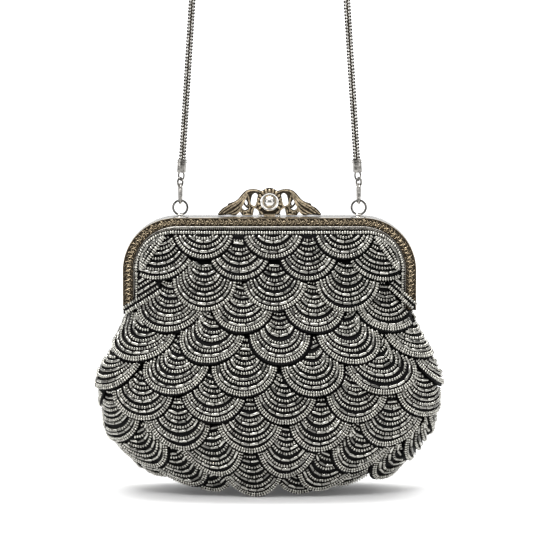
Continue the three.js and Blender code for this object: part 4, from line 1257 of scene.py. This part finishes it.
def woven_chain():
    """Woven chain: staggered columns of small oval links, bright front and back; sides and dark core are
    painted shade.
    """
    link = bmesh.new()
    link.from_mesh(wires([(ring_points(LINK_RADII, 8), 1.0, True)], LINK_WIRE, 1))
    shape = template_of(link)
    points, along, line = strap_line()
    depth = np.array([0.0, 1.0, 0.0])
    across = np.cross(along, depth)
    batches = []
    for column in range(CHAIN_COLUMNS):
        turn = column * 2 * math.pi / CHAIN_COLUMNS
        out = math.cos(turn) * across + math.sin(turn) * depth
        slant = LINK_SLANT * (-1) ** column
        length_axis = math.cos(slant) * along + math.sin(slant) * np.cross(out, along)
        origins = points + COLUMN_RADIUS * out + column % 2 * CHAIN_PITCH / 2 * along
        axes = np.stack([length_axis, out, np.cross(length_axis, out)], axis=1)
        batches.append((shape, origins, axes, rng.random(len(origins))))
    # The links at the chain's two sides take the dark finish: painted shade on links of the same silver as
    # the rest.
    side_shaded_finishes = [RECESS_AND_PAINTED_SHADE, CHAIN_SILVER, CHAIN_SILVER] * 2
    piece = finish_piece("chain_links", repeated("chain_links", batches), side_shaded_finishes)
    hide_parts("strap_chain")
    # A nearly black rod inside the links: painted shade where the chain's inside lies in shadow.
    core = np.column_stack([line[:, 0], np.full(len(line), STRAP_Y), line[:, 1]])
    piece = combined("chain_shade_core", [(wires([(core, 1.0, False)], SHADE_CORE_RADIUS, 2), 0)], [RECESS_AND_PAINTED_SHADE])


for strap_side, side_name in ((-1, "left"), (1, "right")):
    strap_ring(strap_side * LUG_X, side_name)
    lobster_hook(strap_side * LUG_X, side_name)
    lobster_latch(strap_side * LUG_X, side_name)
    strap_cap(strap_side, side_name)
woven_chain()


# Beads along the frame

FRAME_STRING_END, FRAME_STRING_POINTS = 2, 900
# Inset of the string along the arms and the top, and half way round the corners, and its depth.
STRAIGHT_INSET, CORNER_INSET, FRAME_STRING_DEPTH = 8.1, 7.1, 7.6


def frame_beads(name, side, row):
    """Seed beads along the inside of the frame, sewn to the top strip where that stands out further."""
    work = BeadWork()
    length = np.linspace(FRAME_STRING_END, MID_LENGTH[-1] - FRAME_STRING_END, FRAME_STRING_POINTS)
    bends, insets = [], []
    for start, stop in (BENDS[1:3], BENDS[3:5]):
        bends += [start, (start + stop) / 2, stop]
        insets += [STRAIGHT_INSET, CORNER_INSET, STRAIGHT_INSET]
    line = on_frame(length, np.interp(length, bends, insets), FRAME_STRING_DEPTH, side)
    depth = np.abs(line[:, 1])
    cloth = np.abs(row.place(line[:, 0], line[:, 2], FLAP_THICKNESS)[0][:, 1])
    line[:, 1] = side * np.where(line[:, 2] > CORNER_Z, np.maximum(depth, cloth), depth)
    work.thread(line, np.broadcast_to(np.array([0.0, side, 0.0]), line.shape), "edge")
    piece = finish_piece(name, work.mesh(name), [SEED_SILVER, BUGLE_SILVER])


frame_beads("frame_beads_front", -1, FRONT_ROWS[0])
frame_beads("frame_beads_back", 1, BACK_ROWS[0])
for barrel in ("hinge_barrel_left", "hinge_barrel_right"):
    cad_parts[barrel].material_slots[0].material = FITTING


# Camera, floor and light

# The camera's square view: pixels across, millimetres that each shows at the bag, and sensor width.
PIXELS, MM_PER_PIXEL, SENSOR = 533, 0.58, 36
CAMERA_TILT = math.radians(8)
CAMERA_DISTANCE = 2200
AIM = (-1.74, 0, 130.7)
FLOOR_RADIUS, FLOOR_GREY, FLOOR_GLOW = 0.7, 0.66, 0.08
# Brightness of the room by the height of the view into it: white under the horizon, dim over it in front.
SKY = ((0, 1), (0.02, 0.14), (0.25, 0.2), (0.7, 0.9))
# Added to it straight behind the bag.
SKY_BEHIND = 0.55
# Name, place in metres, width and height, and watts of each softbox, and the place that they all face.
SOFTBOXES = (
    ("back_softbox", (0, 0.2, 0.8), (1.5, 0.4), 22),
    ("top_softbox", (0, -0.4, 0.8), (0.8, 0.4), 3),
    ("key_softbox", (-0.25, -0.75, 0.75), (0.4, 0.25), 6),
    ("left_softbox", (-0.9, -0.9, 0.2), (0.3, 0.9), 2.5),
    ("right_softbox", (0.9, -0.9, 0.2), (0.3, 0.9), 2),
)
LIGHTS_FACE = (0, 0, -0.25)


def set_camera():
    """A long lens in front of the bag, a little above it."""
    camera = bpy.data.objects.new("camera", bpy.data.cameras.new("camera"))
    bpy.context.scene.collection.objects.link(camera)
    camera.data.sensor_width = SENSOR
    camera.data.lens = SENSOR * CAMERA_DISTANCE / (PIXELS * MM_PER_PIXEL)
    away = np.array([0, -math.cos(CAMERA_TILT), math.sin(CAMERA_TILT)]) * CAMERA_DISTANCE
    camera.location = on_bag(np.array(AIM) + away)
    camera.rotation_euler = (math.pi / 2 - CAMERA_TILT, 0, 0)
    bpy.context.scene.camera = camera


def set_stage(height):
    """A plain pale round floor."""
    shape = bmesh.new()
    bmesh.ops.create_circle(shape, cap_ends=True, segments=96, radius=FLOOR_RADIUS)
    floor = bpy.data.objects.new("floor", mesh_from(shape, "floor"))
    bpy.context.scene.collection.objects.link(floor)
    floor.location = (0, 0, height)
    material, _, shader = new_material("floor", (FLOOR_GREY, FLOOR_GREY, FLOOR_GREY), 0.6)
    shader.inputs["Emission Color"].default_value = (1, 1, 1, 1)
    shader.inputs["Emission Strength"].default_value = FLOOR_GLOW
    floor.data.materials.append(material)


def softbox(name, place, size, power):
    """A rectangular light that faces the bag."""
    light = bpy.data.objects.new(name, bpy.data.lights.new(name, "AREA"))
    bpy.context.scene.collection.objects.link(light)
    light.data.shape, light.data.size, light.data.size_y = "RECTANGLE", *size
    light.data.energy = power
    light.location = place
    light.rotation_euler = (Vector(LIGHTS_FACE) - Vector(place)).to_track_quat("-Z", "Y").to_euler()


def set_room():
    """A room that is dim behind the camera, and lighter behind the bag and overhead."""
    world = bpy.data.worlds.new("studio")
    bpy.context.scene.world = world
    world.use_nodes = True
    tree = world.node_tree
    place = add_node(tree, "ShaderNodeTexCoord")
    split = add_node(tree, "ShaderNodeSeparateXYZ")
    join(tree, place.outputs["Generated"], split.inputs["Vector"])
    ramp = add_node(tree, "ShaderNodeValToRGB")
    for height, _ in SKY[1:-1]:
        ramp.color_ramp.elements.new(height)
    for element, (height, level) in zip(ramp.color_ramp.elements, SKY):
        element.position, element.color = height, (level, level, level, 1)
    join(tree, split.outputs["Z"], ramp.inputs["Fac"])
    behind = add_node(tree, "ShaderNodeMath", operation="MAXIMUM")
    behind.inputs[1].default_value = 0
    join(tree, split.outputs["Y"], behind.inputs[0])
    brightness = add_node(tree, "ShaderNodeMath", operation="MULTIPLY_ADD")
    brightness.inputs[1].default_value = SKY_BEHIND
    join(tree, behind.outputs[0], brightness.inputs[0])
    join(tree, ramp.outputs["Color"], brightness.inputs[2])
    join(tree, brightness.outputs[0], tree.nodes["Background"].inputs["Color"])


low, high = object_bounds()
set_camera()
set_stage(low[2])
set_room()
for light in SOFTBOXES:
    softbox(*light)
bpy.context.scene.view_settings.view_transform = "Standard"
